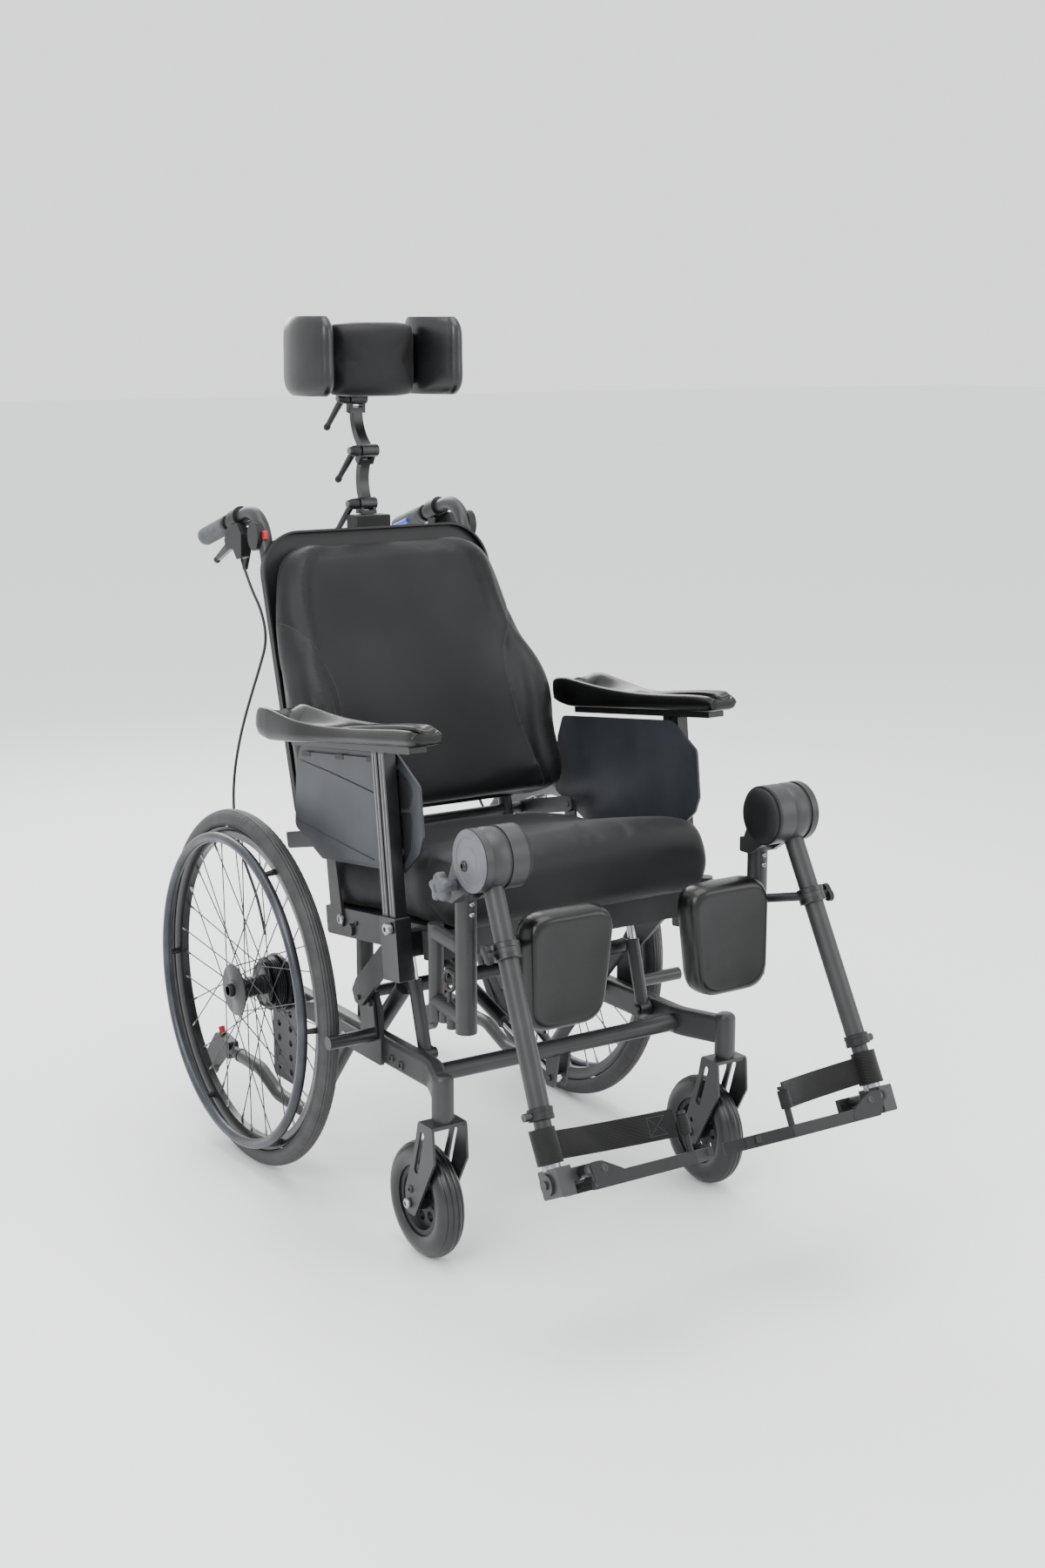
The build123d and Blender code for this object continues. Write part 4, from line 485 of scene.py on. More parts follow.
def swept(mesh, path, radius_mm, sides=12, closed=False):
    """A round tube along a list of points, with its frame carried along without twist."""
    rings, across = [], None
    last = len(path) - 1
    for i, point in enumerate(path):
        if closed:
            before, after = path[i - 1], path[(i + 1) % len(path)]
        else:
            before, after = path[max(i - 1, 0)], path[min(i + 1, last)]
        axis = (after - before).normalized()
        across = axis.orthogonal() if across is None else across - axis * across.dot(axis)
        across.normalize()
        other = axis.cross(across)
        ring = []
        for k in range(sides):
            t = 2 * math.pi * k / sides
            ray = across * math.cos(t) + other * math.sin(t)
            ring.append(mesh.verts.new(point + ray * radius_mm / 1000))
        rings.append(ring)
    return skin(mesh, rings, closed)


def lid(mesh, view, points, x0, x1):
    """A flat outline in a side view, between two distances across."""
    low = [mesh.verts.new(spot(view, x0, a, b)) for a, b in points]
    high = [mesh.verts.new(spot(view, x1, a, b)) for a, b in points]
    return skin(mesh, [low, high])


print("turn_on, swept and lid are ready")

# %% [markdown]
# Few real outlines have sharp corners. One function rounds the corners of an outline, and the
# other draws a smooth curve through a few measured points, so that few points need measuring.

# %% Smooth outlines
def bowed(t, start, pull, end):
    """A number between start and end, drawn towards pull on the way."""
    return (1 - t) ** 2 * start + 2 * t * (1 - t) * pull + t * t * end


def rounded_outline(points, radius, per=6):
    """A closed outline with a soft curve in place of each corner."""
    out = []
    for i, corner in enumerate(points):
        before, after = points[i - 1], points[(i + 1) % len(points)]
        ends = []
        for other in (before, after):
            size = math.hypot(other[0] - corner[0], other[1] - corner[1])
            reach_by = min(radius, size / 2.05) / size
            ends.append(tuple(c + (o - c) * reach_by for c, o in zip(corner, other)))
        for k in range(per + 1):
            t = k / per
            out.append(tuple(bowed(t, *values) for values in zip(ends[0], corner, ends[1])))
    return out


def through(t, a, b, c, d):
    """A number between b and c on a Catmull-Rom curve."""
    bend = 2 * a - 5 * b + 4 * c - d
    turn = 3 * b - a - 3 * c + d
    return 0.5 * (2 * b + (c - a) * t + bend * t * t + turn * t**3)


def smooth_line(points, count, closed=False):
    """Points on a smooth curve through a list of tuples."""
    out, size = [], len(points)
    for i in range(size if closed else size - 1):
        steps = (i - 1, i, i + 1, i + 2)
        if closed:
            near = [points[step % size] for step in steps]
        else:
            near = [points[min(max(step, 0), size - 1)] for step in steps]
        for step in range(count):
            out.append(tuple(through(step / count, *values) for values in zip(*near)))
    return out if closed else out + [tuple(points[-1])]


print("a square with soft corners has", len(rounded_outline([(0, 0), (9, 0), (9, 9), (0, 9)], 2)))

# %% [markdown]
# ## Rear wheels
#
# The tyre is a 24 inch with fine shoulder blocks and a plain crown. The rim is a deep black
# extrusion. Thirty-six crossed spokes run between two hub flanges and short bright nipples.
# The push ring stands off the rim on six tapered stems. All of it is round, so each piece is
# turned from an outline instead of being cut from cylinders.

# %% Rear wheel numbers
WHEEL_Z = 305.0
WHEEL_X = 319.0
TYRE_R = 17.0
RIM_SEAT_R = 276.0
RIM_INNER_R = 256.0
RIM_HALF = 12.0
HANDRIM_X = 352.0
HANDRIM_R = 261.5
HANDRIM_TUBE_R = 8.5
SPOKES = 36


def on_wheel(x, radius, angle):
    """A point at a radius and an angle about the rear axle."""
    return place(x, radius * math.cos(angle), WHEEL_Z + radius * math.sin(angle))


def tyre_outline(side, centre_x, rim_r, outer_r, half, points, grooves):
    """Outline of a tyre from bead to bead, with circumferential grooves in its crown."""
    outline = []
    middle_r = outer_r - half
    for i in range(points + 1):
        t = math.radians(-128 + 256 * i / points)
        x = half * math.sin(t)
        r = middle_r + half * math.cos(t)
        for at, wide, deep in grooves:
            if abs(x - at) < wide / 2:
                r -= deep
        outline.append((side * (centre_x + x), max(r, rim_r)))
    return outline


print("rim depth:", RIM_SEAT_R - RIM_INNER_R, "mm")


# %% [markdown]
# The tyre could be a torus, but its grooves and shoulder blocks are what the eye finds. They come
# from the outline, and from lowering every third step of the turn at the shoulders.

# %% Rear tyres
TREAD_GROOVES = [(-7.5, 1.5, 1.2), (-2.6, 1.3, 1.0), (2.6, 1.3, 1.0), (7.5, 1.5, 1.2)]
for name, side in SIDES:
    outline = tyre_outline(side, WHEEL_X, RIM_SEAT_R, WHEEL_Z, TYRE_R, 56, TREAD_GROOVES)
    last = len(outline) - 1

    def blocks(i, k):
        """Shoulder blocks: every third step is lower where the tread ends."""
        share = k / last
        shoulder = 0.24 < share < 0.36 or 0.64 < share < 0.76
        return -0.9 if shoulder and i % 3 == 0 else 0.0

    mesh = lathe(bmesh.new(), outline, 0, WHEEL_Z, 420, blocks)
    tyre = piece("rear_tyre_tread_" + name, mesh, "wheel_" + name, tyre_rubber, 50)
    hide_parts("rear_tyre_" + name)
print("rear tyres:", len(tyre.data.polygons), "faces each")

# %% [markdown]
# The rim, hub and push ring are turned parts, so a lathe outline says everything about them.
# The rim is a hollow box with hooked edges, and the drum's cooling ribs are steps in the outline.

# %% Rims, hubs and push rings
for name, side in SIDES:
    body = "wheel_" + name
    half = RIM_HALF
    rim = [(-6, RIM_INNER_R), (6, RIM_INNER_R), (8.5, 260)]
    rim += [(half - 1, 268), (half, 270), (half, 275.6)]
    rim += [(9, 275.9), (6, 273), (-6, 273), (-9, 275.9), (-half, 275.6), (-half, 270)]
    rim += [(-half + 1, 268), (-8.5, 260)]
    mesh = lathe(bmesh.new(), [(side * (WHEEL_X + x), r) for x, r in rim], 0, WHEEL_Z, 128)
    rim_piece = piece("rear_rim_" + name, mesh, body, rim_black)
    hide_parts("rear_wheel_" + name)

    barrel = [(268, 6.2), (268, 45)]
    for x in (269.5, 273.5, 277.5, 281.5):
        barrel += [(x, 46), (x + 2, 46), (x + 2.4, 43), (x + 3.6, 43)]
    barrel += [(286, 44.5), (286, 24), (290, 17)]
    barrel += [(291, 17), (291, 37), (291.6, 38), (293.4, 38), (294, 37), (294, 17)]
    for x in range(298, 342, 7):
        barrel += [(x, 16), (x + 0.8, 17.6), (x + 3.2, 17.6), (x + 4, 16)]
    barrel += [(343.9, 16), (343.9, 6.2)]
    mesh = lathe(bmesh.new(), [(side * x, r) for x, r in barrel], 0, WHEEL_Z, 64)
    piece("rear_hub_" + name, mesh, body, rim_black)

    flange = [(344, 6.2), (344, 43), (344.8, 44), (346.4, 44), (347, 43.2)]
    flange += [(347, 20), (349.5, 16.5), (350, 15.5), (350, 6.2)]
    mesh = lathe(bmesh.new(), [(side * x, r) for x, r in flange], 0, WHEEL_Z, 96)
    piece("hub_flange_" + name, mesh, body, rim_black)

    ring = []
    for i in range(24):
        t = 2 * math.pi * i / 24
        x = HANDRIM_X + HANDRIM_TUBE_R * math.cos(t)
        ring.append((side * x, HANDRIM_R + HANDRIM_TUBE_R * math.sin(t)))
    mesh = lathe(bmesh.new(), ring, 0, WHEEL_Z, 160)
    piece("push_ring_" + name, mesh, body, handrim_grey)

    mesh = bmesh.new()
    for i in range(6):
        angle = math.pi / 3 * i
        on_rim = on_wheel(side * (WHEEL_X + 9), 267.5, angle)
        on_ring = on_wheel(side * (HANDRIM_X - 3), HANDRIM_R + 3, angle)
        rod(mesh, on_rim, on_ring, 5.5, 16, 4.0)
    piece("push_ring_stems_" + name, mesh, body, rim_black)
hubs = [o.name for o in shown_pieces() if o.name.startswith("rear_hub")]
print("hubs, rims and push rings are on", hubs)

# %% [markdown]
# Spokes lie in four families: odd ones start on the outer flange and even ones on the inner, and
# each leads or trails. They are drawn 2.1 mm thick, like the real ones. An array of one bent
# spoke would do too, but two angles per spoke give the crossing directly.

# %% Spokes and nipples
SPOKE_R = 1.05
NIPPLE = 13.0
NIPPLE_FOOT_R = 256.3
OUTER_FLANGE_X, INNER_FLANGE_X = 344, 294
for name, side in SIDES:
    wires, nipples = bmesh.new(), bmesh.new()
    for i in range(SPOKES):
        outer = i % 2
        leading = (i // 2) % 2
        sign = -1 if outer else 1
        face = OUTER_FLANGE_X - 1.5 if outer else INNER_FLANGE_X + 1.5
        hole_r = 40 if outer else 34
        rim_angle = 2 * math.pi * i / SPOKES
        hub_angle = rim_angle + math.radians(66 if leading else -66)
        start = on_wheel(side * (face + sign * 3.0 * leading), hole_r, hub_angle)
        rim_x = WHEEL_X - sign * (6.5 - 4.0 * leading) * 0.7
        end = on_wheel(side * rim_x, NIPPLE_FOOT_R, rim_angle)
        seat = end + (start - end).normalized() * NIPPLE / 1000
        rod(wires, start, seat, SPOKE_R, 8)
        rod(nipples, seat, end, 1.9, 8, 2.3)
    piece("spokes_" + name, wires, "wheel_" + name, spoke_steel)
    piece("nipples_" + name, nipples, "wheel_" + name, zinc)
print(SPOKES, "spokes a wheel")

# %% [markdown]
# A domed plastic cap covers each axle end. It is pressed on, so a turned dome that overlaps the
# hub by a tenth of a millimetre is all it needs.

# %% Axle ends
for name, side in SIDES:
    mesh = bmesh.new()
    cap = [(349.9, 0.4), (349.9, 11), (353, 11.5), (357, 10), (358, 8), (358, 0.4)]
    lathe(mesh, [(side * x, r) for x, r in cap], 0, WHEEL_Z, 48)
    piece("axle_cap_" + name, mesh, "wheel_" + name, moulded_black)
print("axle caps stand out to", max(x for x, r in cap), "mm")

# %% [markdown]
# ## Casters
#
# Seven inch casters with a solid ribbed tyre. The dished hub with its round windows is kept from
# the drawings: its island is lifted out of the node, so that rubber and nylon can differ.

# %% Islands of a node
def islands(node):
    """The separate solids of a node, each as a bmesh with its seams welded."""
    whole = bmesh.new()
    whole.from_mesh(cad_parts[node].data)
    bmesh.ops.remove_doubles(whole, verts=whole.verts, dist=1e-5)
    whole.verts.ensure_lookup_table()
    found, seen = [], set()
    for first in whole.verts:
        if first.index in seen:
            continue
        seen.add(first.index)
        group, todo = [], [first]
        while todo:
            vert = todo.pop()
            group.append(vert)
            for edge in vert.link_edges:
                other = edge.other_vert(vert)
                if other.index not in seen:
                    seen.add(other.index)
                    todo.append(other)
        part = bmesh.new()
        copies = {v: part.verts.new(v.co) for v in group}
        # A dictionary keeps the faces in one order, where a set's would change from run to run.
        for f in dict.fromkeys(f for v in group for f in v.link_faces):
            try:
                part.faces.new([copies[v] for v in f.verts])
            except ValueError:  # the weld left a second face on the same corners
                pass
        found.append(part)
    whole.free()
    return found


def reach(mesh):
    """Lowest and highest corner of a bmesh."""
    points = [v.co for v in mesh.verts]
    low = Vector([min(p[i] for p in points) for i in range(3)])
    high = Vector([max(p[i] for p in points) for i in range(3)])
    return low, high


print("the right caster wheel holds", len(islands("caster_wheel_right")), "solids")


# %% [markdown]
# The caster tyre has five ribs. Its outline has four grooves, and its rubber is harder and
# glossier than that of the rear tyre.

# %% Caster wheels
CASTER = (506.0, 91.0)
CASTER_X = 269.0
CASTER_BEAD_R, CASTER_R, CASTER_TYRE_R = 55.0, 91.0, 22.5
CASTER_GROOVES = [(-12, 2.2, 1.8), (-4.2, 2.0, 1.8), (4.2, 2.0, 1.8), (12, 2.2, 1.8)]
for name, side in SIDES:
    body = "caster_" + name
    outline = tyre_outline(
        side, CASTER_X, CASTER_BEAD_R, CASTER_R, CASTER_TYRE_R, 60, CASTER_GROOVES
    )
    mesh = lathe(bmesh.new(), outline, *CASTER, 144)
    tyre = piece("caster_tyre_" + name, mesh, body, caster_rubber, 45)
    parts = sorted(islands("caster_wheel_" + name), key=lambda m: (reach(m)[1] - reach(m)[0]).z)
    hub = piece("caster_hub_" + name, parts[0], body, moulded_black)
    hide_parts("caster_wheel_" + name)
print("caster hub has", len(hub.data.polygons), "faces")

# %% [markdown]
# ## Stuffed cushions
#
# The back and seat are foam in a sewn cover. The CAD solid is the right size but its faces meet
# in ridges, so the copy is remeshed to an even net, relaxed, and blown up by a few millimetres
# with Blender's cloth, as the foam pushes the cover out. Each vertex may move only so far, and
# the face that rests on the pan or shell is pressed flat again.

# %% Even net, relax, blow up
def remeshed(name, mesh, voxel_mm, relax=6):
    """An object with an even net of quads in the shape of a bmesh."""
    data = bpy.data.meshes.new(name)
    mesh.to_mesh(data)
    mesh.free()
    obj = bpy.data.objects.new(name, data)
    bpy.context.scene.collection.objects.link(obj)
    net = obj.modifiers.new("net", "REMESH")
    net.mode = "VOXEL"
    net.voxel_size = voxel_mm / 1000
    smooth = obj.modifiers.new("relax", "SMOOTH")
    smooth.factor = 0.5
    smooth.iterations = relax
    return applied(obj)


def applied(obj):
    """Bakes an object's modifiers into its mesh."""
    graph = bpy.context.evaluated_depsgraph_get()
    data = bpy.data.meshes.new_from_object(obj.evaluated_get(graph))
    obj.modifiers.clear()
    obj.data = data
    return obj


def blown_up(obj, cap_mm, pressure=4.0, frames=20):
    """Cloth with inner pressure and no gravity; no vertex moves further than the cap."""
    start = [v.co.copy() for v in obj.data.vertices]
    cloth = obj.modifiers.new("cover", "CLOTH")
    cloth.settings.use_pressure = True
    cloth.settings.uniform_pressure_force = pressure
    cloth.settings.effector_weights.gravity = 0.0
    scene = bpy.context.scene
    for n in range(1, frames + 1):
        scene.frame_set(n)
    graph = bpy.context.evaluated_depsgraph_get()
    data = bpy.data.meshes.new_from_object(obj.evaluated_get(graph))
    for vertex, old in zip(data.vertices, start):
        move = vertex.co - old
        if move.length > cap_mm / 1000:
            vertex.co = old + move.normalized() * cap_mm / 1000
    obj.modifiers.clear()
    obj.data = data
    scene.frame_set(1)
    return obj


def shaped(obj, change):
    """Moves each vertex by a function of its place and normal."""
    for vertex in obj.data.vertices:
        vertex.co = change(vertex.co.copy(), vertex.normal.copy())
    obj.data.update()
    return obj


def finished(obj, body, material, slot, fill, *nodes):
    """Rounds the net once more, then dresses the cushion and stands it in for its nodes."""
    rounder = obj.modifiers.new("rounder", "SUBSURF")
    rounder.levels = rounder.render_levels = 1
    applied(obj)
    obj.data.polygons.foreach_set("use_smooth", [True] * len(obj.data.polygons))
    dress(obj, material)
    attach(obj, body)
    if nodes:
        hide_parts(*nodes)
    return obj


# %% [markdown]
# Seams come after the remesh. A seam is a shallow valley that the thread pulls into the foam,
# with the stitches in it. The line is drawn in the cushion's own view and dropped onto the
# surface by casting rays.

# %% Seams
def drop(obj, points, direction, start=0.3):
    """Casts each point against an object along a direction and returns where it lands."""
    tree = BVHTree.FromPolygons(
        [v.co.copy() for v in obj.data.vertices], [tuple(p.vertices) for p in obj.data.polygons]
    )
    landed = []
    for point in points:
        hit = tree.ray_cast(point - direction * start, direction)
        if hit[0] is not None:
            landed.append(hit[0])
    return landed


def valley(obj, line, depth_mm, width_mm):
    """Pulls the surface in along a line."""
    width = width_mm / 1000
    near = [(v, min((v.co - p).length for p in line)) for v in obj.data.vertices]
    for vertex, gap in near:
        if gap < 3 * width:
            vertex.co -= vertex.normal * depth_mm / 1000 * math.exp(-((gap / width) ** 2))
    obj.data.update()


def stitched(name, line, body, radius_mm=0.55):
    """A thread laid along a seam."""
    mesh = bmesh.new()
    for a, b in zip(line, line[1:]):
        if (b - a).length > 1e-6:
            rod(mesh, a, b, radius_mm, 6)
    return piece(name, mesh, body, thread)


print("drop, valley and stitched are ready")


# %% [markdown]
# The seat cushion is crowned, with drawn-in sides and a full front edge. Sculpting it by hand
# would work, but blowing up the drawing's own solid keeps its size. It keeps a flat base, because
# it lies on the pan.

# %% Seat cushion
VOXEL = 6.0
PAN_TOP = 33.0


def seat_view(p):
    """A point's (u, w) in the seat's side view, in millimetres."""
    offset = p * 1000 - Vector((0, AXLE_Y - SEAT[0], SEAT[1]))
    return offset.dot(forward(SEAT)), offset.dot(upward(SEAT))


def on_pan(p, n):
    """Keeps the cushion above the pan."""
    u, w = seat_view(p)
    return p + upward(SEAT) * max(PAN_TOP + 0.3 - w, 0) / 1000


seat = remeshed("seat_cushion_cover", islands("seat_cushion")[0], VOXEL, 8)
blown_up(seat, 6.0)
shaped(seat, on_pan)
finished(seat, "seat", cover_fabric, "cover_fabric", 0.8, "seat_cushion")
print("seat cushion:", len(seat.data.vertices), "vertices")

# %% [markdown]
# The back cushion has two side bolsters. One long seam on each side starts at the outer edge,
# turns down round the bolster and runs to the bottom. It is drawn flat, (across, up), and dropped
# onto the crowned front, which no curve drawn in space would meet so closely.

# %% Back cushion
SHELL_FRONT = -125.0


def back_depth(p):
    """How far a point lies in front of the recline pivot, along the back's own direction."""
    offset = p * 1000 - Vector((0, AXLE_Y - BACK[0], BACK[1]))
    return offset.dot(forward(BACK))


def on_shell(p, n):
    """Keeps the cushion in front of the shell's rim."""
    return p + forward(BACK) * max(SHELL_FRONT + 0.6 - back_depth(p), 0) / 1000


back = remeshed("back_cushion_cover", islands("back_cushion")[0], VOXEL, 10)
blown_up(back, 6.0)
shaped(back, on_shell)
SEAM = [
    (233, 382), (212, 352), (192, 322), (176, 284), (168, 240),
    (170, 190), (178, 130), (190, 72), (200, 40),
]
seams = []
for name, side in SIDES:
    route = [spot(BACK, side * x, 0, v) for x, v in smooth_line(SEAM, 10)]
    line = drop(back, route, -forward(BACK))
    valley(back, line, 2.2, 4.5)
    seams.append((name, line))
finished(back, "back", cover_fabric, "cover_fabric", 0.8, "back_cushion")
for name, line in seams:
    line = drop(back, line, -forward(BACK))
    stitched("back_seam_" + name, line, "back")
print("back cushion:", len(back.data.vertices), "vertices,", len(seams), "seams")

# %% [markdown]
# The shell behind the cushion is a moulded tray. The block that holds the headrest's post is
# covered in black loop tape, so the two solids of that node get different finishes.

# %% Shell and headrest socket
BLOCK_WIDTH_M = 0.2
for mesh in islands("back_shell"):
    low, high = reach(mesh)
    if high.x - low.x > BLOCK_WIDTH_M:
        shell = piece("back_tray", mesh, "back", moulded_black)
        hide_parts("back_shell")
    else:
        piece("headrest_socket", mesh, "back", webbing)
print("shell:", len(shell.data.polygons), "faces")

# %% [markdown]
# ## Headrest
#
# A round centre roll sits between two wings that turn forward. In the drawings the wings and the
# plate behind them are one solid, which keeps its form here. The roll is a stuffed form, made in
# the same way as the two cushions with a finer net.

# %% Headrest
HEAD_VOXEL = 4.0
PLATE_FOOT_M = 1.28
for mesh in sorted(islands("headrest_pad"), key=lambda m: (reach(m)[0].x + reach(m)[1].x) / 2):
    low, high = reach(mesh)
    if low.z < PLATE_FOOT_M:
        plate = piece("headrest_plate", mesh, "headrest_pad", black_dip)
        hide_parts("headrest_pad")
        continue
    size = (high - low) * 1000
    roll = remeshed("headrest_pad_centre", mesh, HEAD_VOXEL, 8)
    blown_up(roll, 3.0)
    finished(roll, "headrest_pad", cover_fabric, "cover_fabric", 0.9)
    print("headrest roll:", round(size.x), "x", round(size.z), "mm")

# %% [markdown]
# ## Armrest pads
#
# The pads are moulded foam with a tough skin: a deep elbow trough at the rear that runs out into
# a flat front. A remesh would crumple their long smooth lips, so the form is made from its cross
# sections. Each section is a closed curve, and a dome of shrinking rings closes both ends.

# %% Armrest pads
ARM_INNER, ARM_OUTER, ARM_BASE = 248.0, 330.0, 316.0
# Each section: distance along the seat, height of the outer and the inner wall, height of the
# trough between them, how far the outer edge stands out, and how far the underside is lifted.
ARM_SECTIONS = [
    (-96, 48, 48, 44, 0, 12), (-84, 53, 51, 34, 3, 7), (-62, 53, 51, 25, 4, 2),
    (-40, 50, 48, 20, 4, 0), (30, 36, 38, 18, 2, 0), (90, 28, 32, 20, -8, 0),
    (160, 25, 28, 24, -18, 0), (230, 25, 27, 27, -22, 0), (300, 26, 27, 29, -26, 0),
    (340, 25, 25, 28, -28, 0), (352, 22, 22, 24, -30, 2),
]
ARM_DOME = ((0.965, 2.0), (0.90, 3.6), (0.78, 4.9), (0.55, 5.7), (0.25, 6.0))


def arm_ring(out_wall, in_wall, trough, shift, lift):
    """One cross section as (x, w) points."""
    edge = ARM_OUTER + shift
    middle = (ARM_INNER + edge) / 2
    corners = [
        (ARM_INNER + 5, lift + 0.5),
        (middle, lift),
        (edge - 7, lift + 0.5),
        (edge + 1, lift + 8),
        (edge + 1, (out_wall + lift) / 2 + 3),
        (edge - 1.5, out_wall - 4),
        (edge - 6, out_wall),
        (edge - 12, out_wall - 3.5),
        (middle + 14, trough + 2.5),
        (middle, trough),
        (middle - 14, trough + 2.5),
        (ARM_INNER + 12, in_wall - 3.5),
        (ARM_INNER + 6, in_wall),
        (ARM_INNER + 1.5, in_wall - 4),
        (ARM_INNER, (in_wall + lift) / 2 + 3),
        (ARM_INNER + 0.5, lift + 8),
    ]
    return smooth_line(corners, 4, closed=True)


def dome(u, ring, sign):
    """Shrinking sections that close an end of the pad."""
    cx = sum(p[0] for p in ring) / len(ring)
    cw = sum(p[1] for p in ring) / len(ring)
    rows = []
    for scale, push in ARM_DOME:
        shrunk = [(cx + (x - cx) * scale, cw + (w - cw) * scale) for x, w in ring]
        rows.append((u + sign * push, shrunk))
    return rows


def arm_form(side):
    """The pad as a mesh."""
    rows = [(row[0], arm_ring(*row[1:])) for row in smooth_line(ARM_SECTIONS, 6)]
    rows = dome(*rows[0], -1)[::-1] + rows + dome(*rows[-1], 1)
    mesh, rings = bmesh.new(), []
    for u, ring in rows:
        rings.append([mesh.verts.new(spot(SEAT, side * x, u, ARM_BASE + w)) for x, w in ring])
    return skin(mesh, rings)


for name, side in SIDES:
    body = "armrest_" + name
    pad = piece("armrest_pad_skin_" + name, arm_form(side), body, foam_skin, 60)
    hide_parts("armrest_pad_" + name)
print("armrest pad:", len(pad.data.vertices), "vertices")

# %% [markdown]
# ## Calf pads
#
# A calf pad is a foam dish: its front is hollow with a round raised rim, and its sides are full.
# One outline, shrunk and pushed forward ring by ring, gives the rim and the hollow.

# %% Calf pads
CALF_OUTLINE = [(66, 578), (221, 578), (221, 402), (88, 402)]
# Each ring: its size as a share of the outline, and how far forward it lies.
CALF_RINGS = [
    (0.90, 678), (0.965, 679.5), (0.995, 684), (1.004, 692), (1.0, 702),
    (0.985, 711), (0.955, 717), (0.915, 720.4), (0.87, 721.6), (0.82, 721.2),
    (0.72, 719.8), (0.55, 718.2), (0.35, 717.4), (0.18, 717.2), (0.05, 717.1),
]
BOARD_HEIGHT_M = 0.165
for name, side in SIDES:
    outline = rounded_outline(CALF_OUTLINE, 40, 9)
    cx = sum(p[0] for p in outline) / len(outline)
    cz = sum(p[1] for p in outline) / len(outline)
    mesh, rings = bmesh.new(), []
    for scale, f in CALF_RINGS:
        ring = [(cx + (x - cx) * scale, cz + (z - cz) * scale) for x, z in outline]
        rings.append([mesh.verts.new(place(side * x, f, z)) for x, z in ring])
    skin(mesh, rings)
    pad = piece("calf_pad_skin_" + name, mesh, "calf_" + name, foam_skin, 80)
    solids = sorted(islands("calf_pad_" + name), key=lambda m: reach(m)[1].y - reach(m)[0].y)
    boards = [m for m in solids if (reach(m)[1] - reach(m)[0]).z < BOARD_HEIGHT_M]
    board = piece("calf_board_" + name, boards[0], "calf_" + name, black_dip)
    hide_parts("calf_pad_" + name)
print("calf pad:", len(pad.data.vertices), "vertices; islands", len(solids))

# %% [markdown]
# ## Push handles
#
# The grips are moulded over the tube with a rib every five millimetres and a black collar. An
# oval cover sits where each handle meets its cane, with a red tab on the near one, and the far
# grip has a blue inlay. Ribs are steps in a turned outline, so they catch the light as real ones.

# %% Push handles
GRIP_END = (-378.0, 1032.0)
GRIP_WAY = Vector((0, -math.cos(math.radians(17)), math.sin(math.radians(17))))
RIB_STARTS = range(9, 98, 5)
COVER = (-146, 1052)
COVER_HALF = (20, 25)
TAB = [(-126, 1063), (-119, 1062), (-118, 1047), (-125, 1048)]
COLLAR = [(101, 13), (101.2, 16), (103, 16.5), (109.5, 16.5), (111.5, 15.6), (112, 13)]

ribs = [(0, 9), (0.6, 13), (2.4, 15.8), (4.5, 16.4), (6.5, 16.2)]
for d in RIB_STARTS:
    ribs += [(d, 15.2), (d + 0.8, 16.3), (d + 2.9, 16.3), (d + 3.7, 15.2)]
ribs += [(101, 15.2), (101.4, 13)]
oval = []
for step in range(36):
    t = step / 18 * math.pi
    oval.append((COVER[0] + COVER_HALF[0] * math.cos(t), COVER[1] + COVER_HALF[1] * math.sin(t)))

for name, side in SIDES:
    start = place(side * 200, *GRIP_END)
    mesh = turn_on(bmesh.new(), start, GRIP_WAY, ribs, 40)
    grip = piece("grip_" + name, mesh, "back", grip_rubber, 50)
    if name == "right":
        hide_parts("push_grips")
    mesh = turn_on(bmesh.new(), start, GRIP_WAY, COLLAR, 40)
    piece("grip_collar_" + name, mesh, "back", moulded_black)
    mesh = lid(bmesh.new(), FLOOR, oval, side * 205, side * 219)
    piece("handle_cover_" + name, mesh, "back", moulded_black)
tab = lid(bmesh.new(), FLOOR, rounded_outline(TAB, 3), -211, -203)
piece("handle_tab", tab, "back", signal_red)
inlay = []
for d in (14, 24, 36, 48, 58, 66):
    inlay.append(place(186, *GRIP_END) + GRIP_WAY * d / 1000 - Vector((0, 0, 0.003)))
mesh = swept(bmesh.new(), inlay, 5.2, 14)
piece("handle_inlay", mesh, "back", signal_blue)
print("ribs on a grip:", len(RIB_STARTS))

# %% [markdown]
# ## Screws and bolts
#
# A button head screw is a turned dome with a recess. The list gives each one's body, distance
# across, view, place in that view, radius and finish, so that no fastener is drawn twice.

# %% Screws
def screw(mesh, start, way, r, tall=3.6):
    """A button head with a recess."""
    head = [(-1.5, r), (tall * 0.4, r), (tall * 0.8, r * 0.84), (tall, r * 0.6)]
    head += [(tall, r * 0.46), (tall * 0.4, r * 0.42)]
    return turn_on(mesh, start, way, head, 24)


